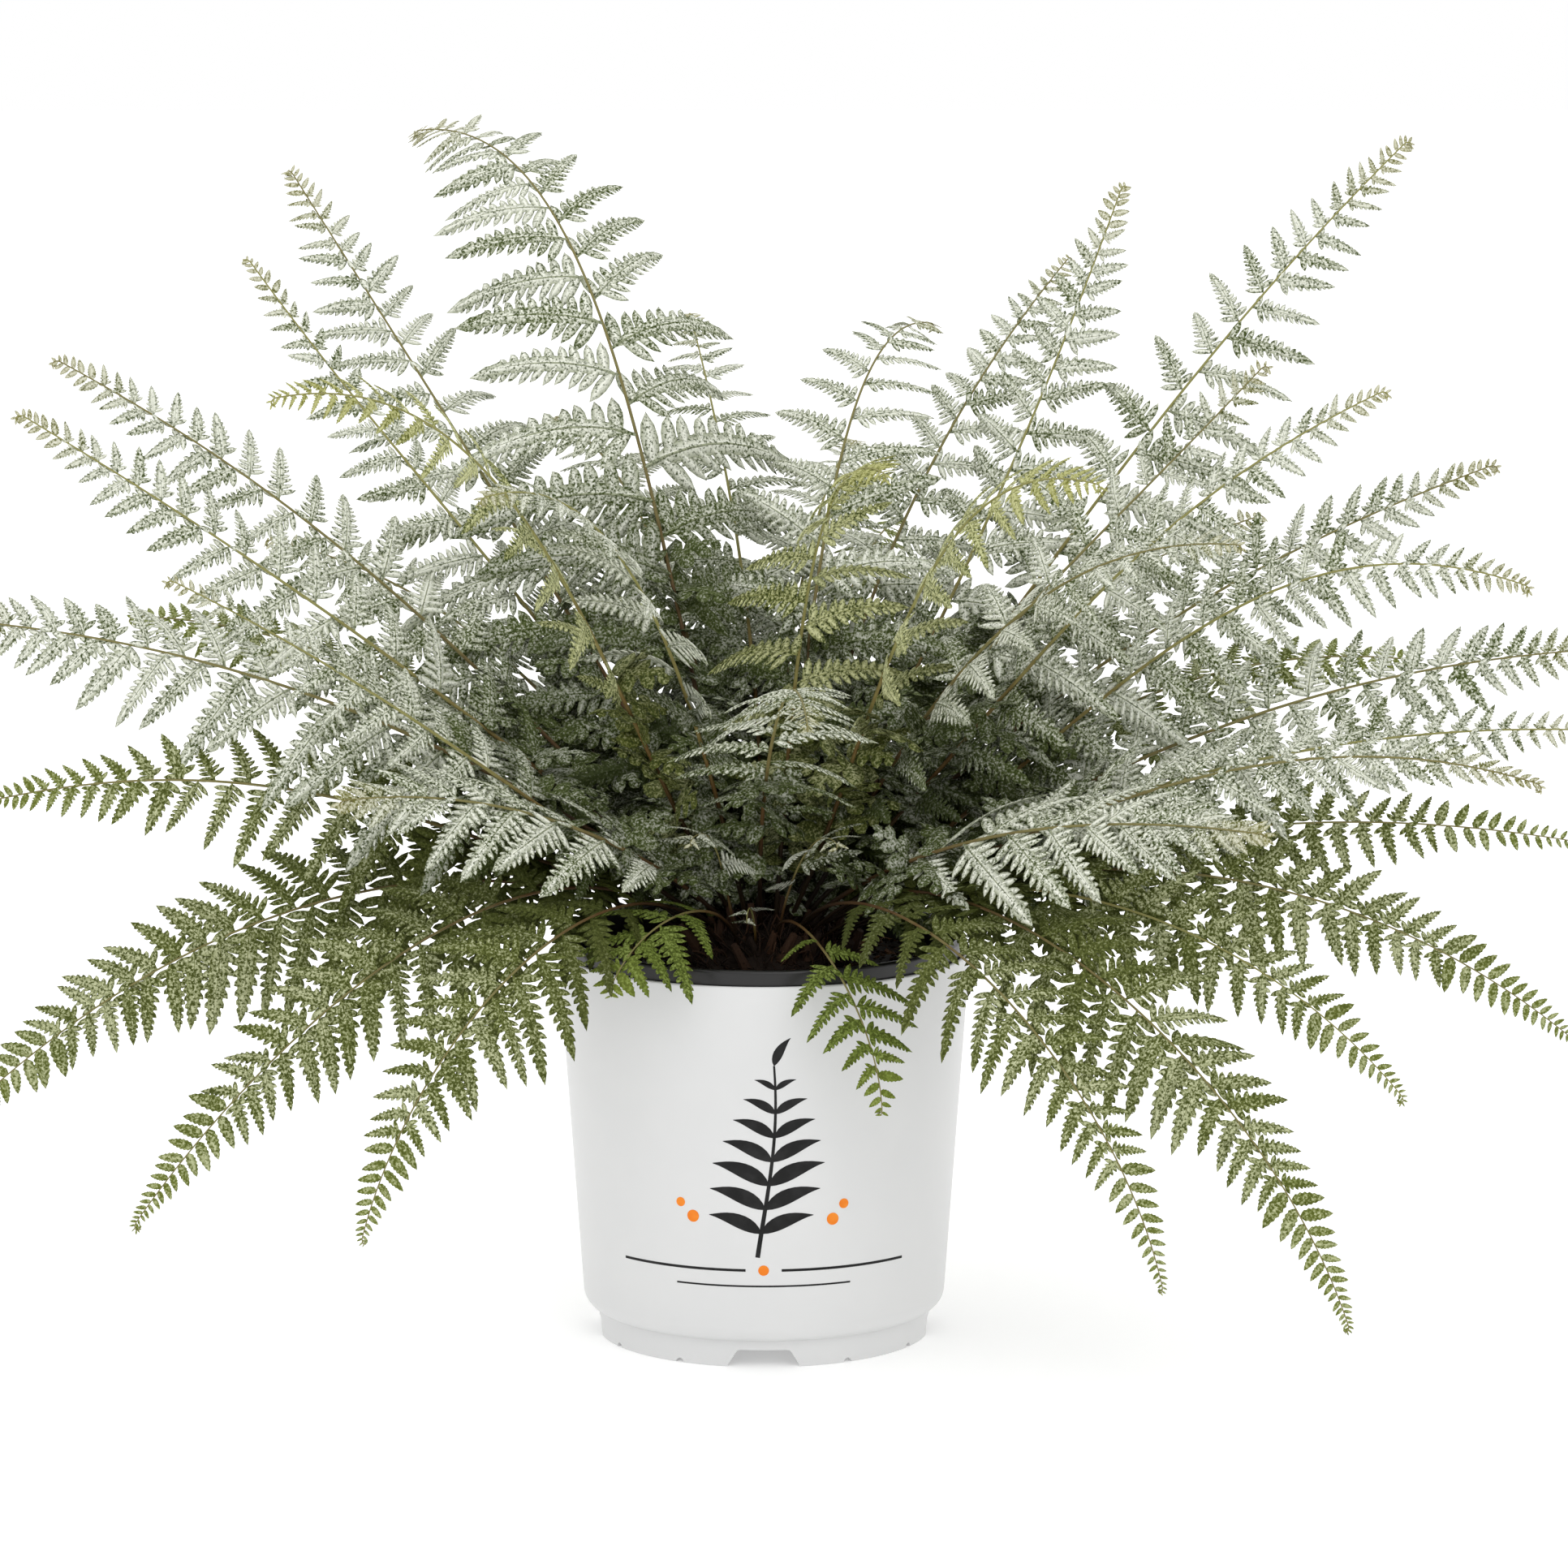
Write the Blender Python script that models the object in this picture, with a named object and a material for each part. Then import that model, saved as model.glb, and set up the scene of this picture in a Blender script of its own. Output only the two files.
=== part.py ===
"""Potted fern: a silver lady fern in a black grow pot, standing inside a white decorative pot.

Metres, +Z up. The origin is on the floor at the centre of the pots, and -Y is the front.
Run with: blender --background --python part.py
"""

import math

import bmesh
import bpy
import numpy as np
from mathutils import Vector

# ---------------------------------------------------------------- driving dimensions
FIT_GAP = 0.0003  # between pieces that touch
TURNED_SEGMENTS = 60  # sides of the pots
SOIL_SEGMENTS = 36
CROWN_SEGMENTS = 20

# White outer pot
POT_HEIGHT = 0.156
LIP_RADIUS = 0.0825
WALL_TAPER = 0.010  # how much narrower the straight wall is where it meets the shoulder
SHOULDER_HEIGHT = 0.018
SHOULDER_RADIUS = 0.0075
SHOULDER_SWEEP = math.radians(75)
POT_WALL = 0.0016
LIP_ROUND = 0.0005
FLOOR_WALL = 0.0018
FOOT_STEP = 0.0006  # how far the foot ring is set in under the shoulder
FOOT_WALL = 0.0022
FOOT_CHAMFER = 0.0003

# Openings of the outer pot's foot and floor
NOTCH_COUNT = 4
NOTCH_BOTTOM_WIDTH = 0.027
NOTCH_TOP_WIDTH = 0.019
NOTCH_HEIGHT = 0.007
NICK_RADIUS = 0.0018
NICK_ANGLE = math.radians(30)  # from the middle of a notch to each nick beside it
POT_HOLE_RADIUS = 0.005
POT_HOLE_SHARE = 0.69  # of the way from the axis to the shoulder's centre
POT_HOLE_COUNT = 4

# Black grow pot
NEST_GAP = 0.0015  # between the grow pot's wall and the outer pot's wall
GROW_WALL = 0.0012
RIM_HEIGHT = 0.0095
RIM_STAND = 0.006  # how far the rim stands above the white lip
RIM_GAP = 0.0004
RIM_WIDTH = 0.0032
RIM_ROUND = 0.0014
GROW_HOLE_RADIUS = 0.004
GROW_HOLE_SHARE = 0.80
GROW_HOLE_COUNT = 8

# Potting mix
HEADSPACE = 0.012  # from the top of the rim down to the mix
SHRINK_DEPTH = 0.003  # the mix is this much lower beside the wall
SHRINK_WIDTH = 0.010

# Crown
CROWN_RADIUS = 0.036
CROWN_HEIGHT = 0.018
DOME_STEPS = 6

# Fronds
STEM_RADIUS = 0.00125
TIP_RADIUS = 0.0005
START_PULL = 0.38  # how far the curve keeps its first and last direction, as a share of its chord
END_PULL = 0.38
LEAFLET_PAIRS = 10
STEM_RINGS = 4
NOTCH_SHARE = 0.42  # width of the blade between two leaflets, as a share of its full width
NEIGHBOUR_SHARE = 0.44  # share of the way to the next frond that a blade may take
POT_SHARE = 0.8  # share of the way to the pots and the mix that a blade may take
CURVE_POINTS = 60
AHEAD_SHARE = 0.01  # of the length, on each side of a place where the direction is taken
WIDEST_SHARE = 0.32  # of the blade's length, from its first leaflets to its widest place
FIRST_WIDTH = 0.55  # width at the first leaflets, as a share of the widest
TAPER_POWER = 0.8  # under 1, a blade that keeps its width longer towards its tip

# Each whorl: radius of its circle as a share of the crown's, bare share of the stem, then its fronds.
# Each frond: first heading, last heading, reach past the lip, height of the tip over the lip, climb
# at the crown, slope at the tip, width, roll. Angles are in degrees, and headings turn from +X to +Y.
WHORLS = {
    "upright": (0.22, 0.14, [
        (-6, 14, 0.1225, 0.226, 58, 45, 0.117, 20),
        (25, 25, 0.2055, 0.310, 46, 40, 0.137, 15),
        (57, 65, 0.0805, 0.234, 75, -10, 0.124, 0),
        (90, 99, 0.1175, 0.232, 72, 25, 0.117, 0),
        (136, 127, 0.1575, 0.310, 68, -8, 0.150, 0),
        (170, 140, 0.1725, 0.294, 60, 48, 0.124, 0),
    ]),
    "leaning": (0.42, 0.14, [
        (-50, -45, 0.0955, 0.203, 56, -6, 0.117, 0),
        (-28, -25, 0.1175, 0.174, 58, 0, 0.110, 0),
        (-8, -15, 0.1635, 0.230, 46, 27, 0.110, 25),
        (12, 5, 0.2075, 0.190, 42, 20, 0.117, 30),
        (38, 40, 0.1075, 0.291, 56, 64, 0.130, 0),
        (62, 55, 0.1375, 0.257, 64, 30, 0.117, 0),
        (86, 79, 0.1175, 0.179, 64, 0, 0.130, 0),
        (111, 114, 0.1325, 0.189, 62, 5, 0.130, 0),
        (152, 155, 0.1475, 0.264, 58, 50, 0.104, 0),
        (171, 170, 0.2035, 0.229, 44, 27, 0.117, -25),
        (188, 185, 0.2075, 0.216, 40, 32, 0.117, -30),
        (205, 188, 0.2495, 0.140, 36, 5, 0.143, -25),
        (226, 220, 0.1545, 0.239, 52, -4, 0.104, 0),
        (246, 232, 0.0875, 0.199, 62, -5, 0.110, 0),
        (266, 275, 0.1075, 0.122, 58, -20, 0.130, 0),
        (287, 290, 0.0505, 0.207, 76, -5, 0.124, 0),
    ]),
    "spreading": (0.61, 0.12, [
        (-55, -40, 0.1625, 0.074, 35, 0, 0.125, 15),
        (-42, -20, 0.2325, 0.085, 23, -14, 0.090, 25),
        (-29, -13, 0.2495, 0.100, 28, 0, 0.095, 25),
        (-15, -5, 0.2505, 0.125, 31, 4, 0.125, 30),
        (0, -9, 0.2175, 0.153, 33, -18, 0.105, 30),
        (17, 14, 0.1875, 0.106, 38, -8, 0.110, 0),
        (35, 35, 0.1675, 0.154, 50, 10, 0.110, 0),
        (75, 75, 0.1375, 0.144, 55, 0, 0.110, 0),
        (110, 110, 0.1455, 0.114, 50, -5, 0.110, 0),
        (145, 145, 0.1675, 0.144, 48, 5, 0.110, 0),
        (168, 166, 0.1795, 0.124, 40, 0, 0.110, 0),
        (188, 193, 0.2225, 0.072, 22, -10, 0.105, -35),
        (216, 200, 0.1585, 0.159, 33, 28, 0.090, -20),
        (238, 215, 0.1125, 0.079, 38, 0, 0.125, -15),
    ]),
    "drooping": (0.80, 0.12, [
        (-17, -12, 0.2475, 0.054, 24, -8, 0.068, 40),
        (-30, -15, 0.2445, -0.021, 30, -38, 0.072, 40),
        (-44, -30, 0.1985, -0.030, 35, -45, 0.064, 35),
        (-57, -43, 0.2175, -0.104, 45, -65, 0.085, 25),
        (-70, -55, 0.1775, -0.087, 45, -68, 0.072, 20),
        (-83, -69, 0.0450, -0.040, 60, -82, 0.062, 0),
        (57, 57, 0.1715, -0.016, 42, -50, 0.075, 0),
        (93, 93, 0.1335, 0.034, 40, -30, 0.072, 0),
        (128, 128, 0.1715, -0.016, 42, -50, 0.075, 0),
        (196, 190, 0.2495, -0.068, 30, -45, 0.070, -45),
        (216, 210, 0.1945, -0.080, 45, -50, 0.068, -35),
        (233, 230, 0.1525, -0.076, 45, -68, 0.062, -25),
        (250, 240, 0.0350, 0.004, 58, -48, 0.078, 0),
    ]),
    "young": (0.72, 0.30, [
        (246, 247, -0.0125, 0.056, 64, -10, 0.060, 0),
        (263, 262, -0.0365, 0.022, 68, -35, 0.030, 0),
        (282, 294, -0.0145, 0.054, 62, -10, 0.060, 0),
    ]),
}


# ---------------------------------------------------------------- places that follow from the sizes
def outer_radius(height):
    """Outer face of the white pot's straight wall."""
    climb = (height - SHOULDER_HEIGHT) / (POT_HEIGHT - SHOULDER_HEIGHT)
    return LIP_RADIUS - WALL_TAPER * (1 - climb)


def inner_radius(height):
    return outer_radius(height) - POT_WALL


def grow_outer_radius(height):
    return inner_radius(height) - NEST_GAP


def grow_inner_radius(height):
    return grow_outer_radius(height) - GROW_WALL


LOWER_RADIUS = LIP_RADIUS - WALL_TAPER
SHOULDER_CENTRE = LOWER_RADIUS - SHOULDER_RADIUS
POT_FLOOR_TOP = SHOULDER_HEIGHT - (SHOULDER_RADIUS - POT_WALL)
POT_FLOOR_UNDER = POT_FLOOR_TOP - FLOOR_WALL
FOOT_RADIUS = SHOULDER_CENTRE + SHOULDER_RADIUS * math.cos(SHOULDER_SWEEP) - FOOT_STEP
FOOT_HEIGHT = SHOULDER_HEIGHT - SHOULDER_RADIUS * math.sin(SHOULDER_SWEEP)
FOOT_INNER_RADIUS = FOOT_RADIUS - FOOT_WALL
GROW_BASE = POT_FLOOR_TOP + FIT_GAP
GROW_FLOOR_TOP = GROW_BASE + GROW_WALL
RIM_TOP = POT_HEIGHT + RIM_STAND
RIM_BOTTOM = RIM_TOP - RIM_HEIGHT
RIM_RADIUS = inner_radius(RIM_BOTTOM) - RIM_GAP
SOIL_BASE = GROW_FLOOR_TOP + FIT_GAP
SOIL_TOP = RIM_TOP - HEADSPACE
CROWN_BASE = SOIL_TOP + FIT_GAP


# ---------------------------------------------------------------- making things
def clear_scene():
    for thing in list(bpy.data.objects):
        bpy.data.objects.remove(thing, do_unlink=True)


def material(name, colour, roughness, metallic=0.0):
    made = bpy.data.materials.new(name)
    made.use_nodes = True
    shader = made.node_tree.nodes["Principled BSDF"]
    shader.inputs["Base Color"].default_value = (*colour, 1)
    shader.inputs["Roughness"].default_value = roughness
    shader.inputs["Metallic"].default_value = metallic
    made.diffuse_color = (*colour, 1)
    return made


def add_object(name, bm, finish=None, sharp=math.radians(40)):
    """A mesh object from bm, with its faces pointing out and round faces shaded smooth."""
    bmesh.ops.recalc_face_normals(bm, faces=bm.faces)
    mesh = bpy.data.meshes.new(name)
    bm.to_mesh(mesh)
    bm.free()
    mesh.shade_smooth()
    mesh.set_sharp_from_angle(angle=sharp)
    if finish:
        mesh.materials.append(finish)
    made = bpy.data.objects.new(name, mesh)
    bpy.context.scene.collection.objects.link(made)
    return made


def arc(centre_r, centre_z, radius, first, last, steps):
    """Points (r, z) along an arc of a turned profile, with its angles from +r towards +z."""
    angles = [first + (last - first) * k / steps for k in range(steps + 1)]
    return [(centre_r + radius * math.cos(a), centre_z + radius * math.sin(a)) for a in angles]


def turned(name, profile, segments, finish):
    """A solid of revolution about Z. A profile that starts and ends on the axis closes there."""
    bm = bmesh.new()
    points = [bm.verts.new((r, 0, z)) for r, z in profile]
    edges = [bm.edges.new(pair) for pair in zip(points, points[1:])]
    bmesh.ops.spin(bm, geom=points + edges, axis=(0, 0, 1), angle=math.tau, steps=segments, use_merge=True)
    bmesh.ops.remove_doubles(bm, verts=bm.verts, dist=1e-6)
    return add_object(name, bm, finish)


def prism(bm, outline, depth, heading):
    """An outline of (sideways, z) points pushed along Y by depth, moved out to heading about Z."""
    turn = heading + math.pi / 2
    start, end = depth

    def place(across, along, z):
        # -Y is heading -90 degrees, so a prism built along -Y is turned by heading + 90 degrees
        x = across * math.cos(turn) + along * math.sin(turn)
        y = across * math.sin(turn) - along * math.cos(turn)
        return bm.verts.new((x, y, z))

    near = [place(a, start, z) for a, z in outline]
    far = [place(a, end, z) for a, z in outline]
    count = len(outline)
    bm.faces.new(near)
    bm.faces.new(far[::-1])
    for k in range(count):
        after = (k + 1) % count
        bm.faces.new((near[after], near[k], far[k], far[after]))


def hole_cutter(bm, radius, circle, count, bottom, top, offset):
    """Upright round cutters spaced evenly on a circle."""
    for k in range(count):
        heading = offset + math.tau * k / count
        made = bmesh.ops.create_cone(
            bm, cap_ends=True, segments=16, radius1=radius, radius2=radius, depth=top - bottom
        )
        place = Vector((circle * math.cos(heading), circle * math.sin(heading), (bottom + top) / 2))
        bmesh.ops.translate(bm, verts=made["verts"], vec=place)


def cut(target, name, bm):
    """Cuts bm's closed shapes out of target, and keeps them as a hidden cutter."""
    cutter = add_object(name, bm)
    cutter.hide_render = True
    cutter.display_type = "WIRE"
    step = target.modifiers.new(name, "BOOLEAN")
    step.operation = "DIFFERENCE"
    step.solver = "EXACT"
    step.object = cutter


# ---------------------------------------------------------------- outer_pot
def make_outer_pot():
    """White moulded pot: foot ring, rounded shoulder, straight tapered wall, one thin lip."""
    lip_middle = LIP_RADIUS - POT_WALL / 2
    profile = [(0, POT_FLOOR_UNDER), (FOOT_INNER_RADIUS, POT_FLOOR_UNDER), (FOOT_INNER_RADIUS, FOOT_CHAMFER)]
    profile += [(FOOT_INNER_RADIUS + FOOT_CHAMFER, 0), (FOOT_RADIUS - FOOT_CHAMFER, 0)]
    profile += [(FOOT_RADIUS, FOOT_CHAMFER), (FOOT_RADIUS, FOOT_HEIGHT)]
    profile += arc(SHOULDER_CENTRE, SHOULDER_HEIGHT, SHOULDER_RADIUS, -SHOULDER_SWEEP, 0, 4)
    profile += [(outer_radius(POT_HEIGHT - LIP_ROUND), POT_HEIGHT - LIP_ROUND)]
    profile += [(lip_middle + LIP_ROUND / 2, POT_HEIGHT), (lip_middle - LIP_ROUND / 2, POT_HEIGHT)]
    profile += [(inner_radius(POT_HEIGHT - LIP_ROUND), POT_HEIGHT - LIP_ROUND)]
    profile += arc(SHOULDER_CENTRE, SHOULDER_HEIGHT, SHOULDER_RADIUS - POT_WALL, 0, -math.pi / 2, 4)
    profile += [(0, POT_FLOOR_TOP)]
    pot = turned("outer_pot", profile, TURNED_SEGMENTS, material("white_plastic", (0.80, 0.80, 0.80), 0.4))

    bm = bmesh.new()
    half_bottom = NOTCH_BOTTOM_WIDTH / 2
    half_top = NOTCH_TOP_WIDTH / 2
    run_out = (half_bottom - half_top) / NOTCH_HEIGHT * FOOT_WALL
    notch = [(-half_bottom - run_out, -FOOT_WALL), (half_bottom + run_out, -FOOT_WALL)]
    notch += [(half_top, NOTCH_HEIGHT), (-half_top, NOTCH_HEIGHT)]
    nick = arc(0, 0, NICK_RADIUS, 0, math.pi, 6) + [(-NICK_RADIUS, -FOOT_WALL), (NICK_RADIUS, -FOOT_WALL)]
    notch_depth = (FOOT_INNER_RADIUS * math.cos(math.pi / 6), FOOT_RADIUS + FOOT_WALL)
    nick_depth = (FOOT_INNER_RADIUS - FOOT_WALL, FOOT_RADIUS + FOOT_WALL)
    for k in range(NOTCH_COUNT):
        heading = -math.pi / 2 + math.tau * k / NOTCH_COUNT
        prism(bm, notch, notch_depth, heading)
        prism(bm, nick, nick_depth, heading - NICK_ANGLE)
        prism(bm, nick, nick_depth, heading + NICK_ANGLE)
    cut(pot, "foot_cutter", bm)

    bm = bmesh.new()
    bottom = POT_FLOOR_UNDER - FLOOR_WALL
    top = POT_FLOOR_TOP + FLOOR_WALL
    between_notches = math.pi / NOTCH_COUNT
    circle = POT_HOLE_SHARE * SHOULDER_CENTRE
    hole_cutter(bm, POT_HOLE_RADIUS, circle, POT_HOLE_COUNT, bottom, top, between_notches)
    cut(pot, "pot_hole_cutter", bm)


# ---------------------------------------------------------------- grow_pot
def make_grow_pot():
    """Thin black pot inside the white one. Its rolled rim stands above the white lip."""
    inside = RIM_RADIUS - RIM_WIDTH
    top = RIM_TOP - RIM_ROUND
    profile = [(0, GROW_BASE), (SHOULDER_CENTRE, GROW_BASE)]
    profile += [(grow_outer_radius(height), height) for height in (SHOULDER_HEIGHT, RIM_BOTTOM)]
    profile += [(RIM_RADIUS, RIM_BOTTOM)]
    profile += arc(RIM_RADIUS - RIM_ROUND, top, RIM_ROUND, 0, math.pi / 2, 3)
    profile += arc(inside + RIM_ROUND, top, RIM_ROUND, math.pi / 2, math.pi, 3)
    profile += [(grow_inner_radius(height), height) for height in (RIM_BOTTOM, SHOULDER_HEIGHT)]
    profile += [(SHOULDER_CENTRE - GROW_WALL, GROW_FLOOR_TOP), (0, GROW_FLOOR_TOP)]
    pot = turned("grow_pot", profile, TURNED_SEGMENTS, material("black_plastic", (0.022, 0.022, 0.024), 0.35))

    bm = bmesh.new()
    bottom = GROW_BASE - GROW_WALL
    top = GROW_FLOOR_TOP + GROW_WALL
    hole_cutter(bm, GROW_HOLE_RADIUS, GROW_HOLE_SHARE * SHOULDER_CENTRE, GROW_HOLE_COUNT, bottom, top, 0)
    cut(pot, "grow_hole_cutter", bm)


# ---------------------------------------------------------------- potting_mix and crown
def make_potting_mix():
    """The block of mix, shrunk down a little beside the wall."""
    edge = SOIL_TOP - SHRINK_DEPTH
    floor_radius = SHOULDER_CENTRE - GROW_WALL - FIT_GAP
    wall_radius = min(grow_inner_radius(edge), RIM_RADIUS - RIM_WIDTH) - FIT_GAP
    profile = [(0, SOIL_BASE), (floor_radius, SOIL_BASE)]
    profile += [(grow_inner_radius(SHOULDER_HEIGHT) - FIT_GAP, SHOULDER_HEIGHT), (wall_radius, edge)]
    profile += [(wall_radius - SHRINK_WIDTH, SOIL_TOP), (0, SOIL_TOP)]
    turned("potting_mix", profile, SOIL_SEGMENTS, material("dark_mix", (0.030, 0.020, 0.014), 0.95))


def crown_point(radius):
    """Place (r, z) on the crown's dome and the dome's normal (r, z) there."""
    rise = CROWN_HEIGHT * math.sqrt(1 - (radius / CROWN_RADIUS) ** 2)
    normal = Vector((radius / CROWN_RADIUS**2, rise / CROWN_HEIGHT**2)).normalized()
    return Vector((radius, CROWN_BASE + rise)), normal


def make_crown():
    """The short upright rhizome that all fronds grow from: a low dome lying on the mix."""
    profile = [(0, CROWN_BASE)]
    for k in range(DOME_STEPS):
        angle = k / DOME_STEPS * math.pi / 2
        profile.append((CROWN_RADIUS * math.cos(angle), CROWN_BASE + CROWN_HEIGHT * math.sin(angle)))
    profile.append((0, CROWN_BASE + CROWN_HEIGHT))
    turned("crown", profile, CROWN_SEGMENTS, material("brown_rhizome", (0.065, 0.032, 0.016), 0.9))


# ---------------------------------------------------------------- fronds
def frond_curve(ring_radius, first, last, reach, height, climb, slope):
    """Points along one stem and midrib: a cubic curve from the crown to the tip."""
    place, normal = crown_point(ring_radius)
    start = place + normal * (STEM_RADIUS + FIT_GAP)
    out_first = Vector((math.cos(first), math.sin(first), 0))
    out_last = Vector((math.cos(last), math.sin(last), 0))
    up = Vector((0, 0, 1))
    p0 = out_first * start[0] + up * start[1]
    p3 = out_last * reach + up * height
    chord = (p3 - p0).length
    p1 = p0 + (out_first * math.cos(climb) + up * math.sin(climb)) * chord * START_PULL
    p2 = p3 - (out_last * math.cos(slope) + up * math.sin(slope)) * chord * END_PULL
    t = np.linspace(0, 1, CURVE_POINTS)[:, None]
    a, b, c, d = (np.array(p) for p in (p0, p1, p2, p3))
    return (1 - t) ** 3 * a + 3 * (1 - t) ** 2 * t * b + 3 * (1 - t) * t**2 * c + t**3 * d


def lengths_along(points):
    steps = np.linalg.norm(np.diff(points, axis=0), axis=1)
    return np.concatenate([[0], np.cumsum(steps)])


def point_at(points, share):
    """Place on the curve at a share of its length."""
    along = lengths_along(points)
    return np.array([np.interp(share * along[-1], along, points[:, k]) for k in range(3)])


def blade_shape(u):
    """Half-width of a frond's blade as a share of its widest, from its first leaflets to its tip."""
    if u < WIDEST_SHARE:
        return FIRST_WIDTH + (1 - FIRST_WIDTH) * math.sin(u / WIDEST_SHARE * math.pi / 2)
    return max(0.0, math.cos((u - WIDEST_SHARE) / (1 - WIDEST_SHARE) * math.pi / 2)) ** TAPER_POWER


def distance_to_segment(point, start, end):
    along = np.array(end) - np.array(start)
    share = np.dot(point - np.array(start), along) / np.dot(along, along)
    nearest = np.array(start) + along * min(1, max(0, share))
    return float(np.linalg.norm(point - nearest))


def room_at(point, others):
    """Half-width that a blade may have at a point, between its neighbours and above the pots."""
    beside = min(float(np.linalg.norm(other - point, axis=1).min()) for other in others)
    flat = np.array([math.hypot(point[0], point[1]), point[2]])
    rim = (RIM_RADIUS, RIM_TOP)
    lip = (LIP_RADIUS, POT_HEIGHT)
    foot = (LOWER_RADIUS, 0)
    crown_edge = (CROWN_RADIUS, SOIL_TOP)
    under = min(
        distance_to_segment(flat, crown_edge, (RIM_RADIUS, SOIL_TOP)),
        distance_to_segment(flat, rim, lip),
        distance_to_segment(flat, lip, foot),
    )
    return min(NEIGHBOUR_SHARE * beside, POT_SHARE * under)


def make_frond(name, points, others, bare, width, roll, finish):
    """A slim stem that widens into a thin blade with a pair of teeth for each pair of leaflets."""
    chord = points[-1] - points[0]
    level = np.cross(chord, (0, 0, 1))
    level /= np.linalg.norm(level)
    shares = [bare * k / STEM_RINGS for k in range(STEM_RINGS)]
    shares += [bare + (1 - bare) * k / (2 * LEAFLET_PAIRS) for k in range(2 * LEAFLET_PAIRS + 1)]
    bm = bmesh.new()
    rings = []
    for k, share in enumerate(shares):
        centre = point_at(points, share)
        before = point_at(points, max(0, share - AHEAD_SHARE))
        ahead = point_at(points, min(1, share + AHEAD_SHARE)) - before
        ahead /= np.linalg.norm(ahead)
        side = level - np.dot(level, ahead) * ahead
        side /= np.linalg.norm(side)
        face = np.cross(side, ahead)
        side, face = (
            side * math.cos(roll) - face * math.sin(roll),
            face * math.cos(roll) + side * math.sin(roll),
        )
        thick = STEM_RADIUS + (TIP_RADIUS - STEM_RADIUS) * share
        half = thick
        if share >= bare and k < len(shares) - 1:
            full = width / 2 * blade_shape((share - bare) / (1 - bare))
            tooth = 1.0 if (k - STEM_RINGS) % 2 else NOTCH_SHARE
            half = max(thick, min(full, room_at(centre, others)) * tooth)
        corners = (side * half, face * thick, -side * half, -face * thick)
        rings.append([bm.verts.new(centre + corner) for corner in corners])
    bm.faces.new(rings[0])
    bm.faces.new(rings[-1][::-1])
    for lower, upper in zip(rings, rings[1:]):
        for k in range(4):
            after = (k + 1) % 4
            bm.faces.new((lower[after], lower[k], upper[k], upper[after]))
    add_object(name, bm, finish, sharp=math.radians(20))


def make_fronds():
    silver = material("silver_leaf", (0.42, 0.47, 0.40), 0.6)
    green = material("green_leaf", (0.13, 0.22, 0.07), 0.55)
    plans = []
    for whorl, (ring_share, bare, fronds) in WHORLS.items():
        finish = green if whorl == "drooping" else silver
        for number, (first, last, past, over, climb, slope, width, roll) in enumerate(fronds, 1):
            first, last, climb, slope, roll = map(math.radians, (first, last, climb, slope, roll))
            ring_radius = ring_share * CROWN_RADIUS
            points = frond_curve(ring_radius, first, last, LIP_RADIUS + past, POT_HEIGHT + over, climb, slope)
            plans.append((f"{whorl}_frond_{number}", points, bare, width, roll, finish))
    for name, points, bare, width, roll, finish in plans:
        others = [plan[1] for plan in plans if plan[0] != name]
        make_frond(name, points, others, bare, width, roll, finish)


clear_scene()
make_outer_pot()
make_grow_pot()
make_potting_mix()
make_crown()
make_fronds()
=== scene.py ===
"""Potted fern: a silver lady fern in a black grow pot, standing inside a white decorative pot.

Metres, +Z up, -Y the front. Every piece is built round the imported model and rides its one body.
"""

import math

import bmesh
import bpy
import numpy as np
from mathutils import Matrix, Vector, noise


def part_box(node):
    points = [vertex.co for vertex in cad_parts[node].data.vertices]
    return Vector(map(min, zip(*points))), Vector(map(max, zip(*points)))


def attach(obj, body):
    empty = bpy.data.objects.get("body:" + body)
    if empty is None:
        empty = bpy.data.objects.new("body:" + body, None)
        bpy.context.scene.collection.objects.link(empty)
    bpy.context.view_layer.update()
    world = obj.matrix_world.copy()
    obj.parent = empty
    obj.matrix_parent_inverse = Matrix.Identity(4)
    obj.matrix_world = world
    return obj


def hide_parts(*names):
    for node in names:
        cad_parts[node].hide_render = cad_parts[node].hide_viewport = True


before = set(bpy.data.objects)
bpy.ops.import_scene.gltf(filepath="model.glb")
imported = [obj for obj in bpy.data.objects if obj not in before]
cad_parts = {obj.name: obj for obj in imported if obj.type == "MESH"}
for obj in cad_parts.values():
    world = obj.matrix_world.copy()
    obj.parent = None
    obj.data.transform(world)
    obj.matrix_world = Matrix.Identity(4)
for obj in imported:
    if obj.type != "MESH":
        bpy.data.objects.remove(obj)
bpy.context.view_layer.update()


# ------------------------------------------------------------------ studio
# A plain white table that runs back without an edge, a white room all round, and two large soft
# boxes, in front and above, as in a catalogue studio. The camera looks slightly down.
scene = bpy.context.scene
scene.view_settings.view_transform = "Standard"


def added(name, data):
    """A new object in the scene that holds this data."""
    made = bpy.data.objects.new(name, data)
    scene.collection.objects.link(made)
    return made


lens = bpy.data.cameras.new("camera")
lens.lens = 172.7
lens.sensor_width = 36.0
lens.clip_end = 50.0
camera = added("camera", lens)
camera.location = (0.008, -2.95, 0.73)
camera.rotation_euler = (math.radians(80.23), 0, 0)
scene.camera = camera

room = bpy.data.worlds.new("white_room")
room.use_nodes = True
room.node_tree.nodes["Background"].inputs["Color"].default_value = (1.0, 1.0, 1.0, 1)
room.node_tree.nodes["Background"].inputs["Strength"].default_value = 1.0
scene.world = room


def soft_box(name, place, aim, size, power):
    """A square area light at a place, turned towards a point."""
    light = bpy.data.lights.new(name, "AREA")
    light.size = size
    light.energy = power
    lamp = added(name, light)
    lamp.location = place
    lamp.rotation_euler = (Vector(aim) - Vector(place)).to_track_quat("-Z", "Y").to_euler()


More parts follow.
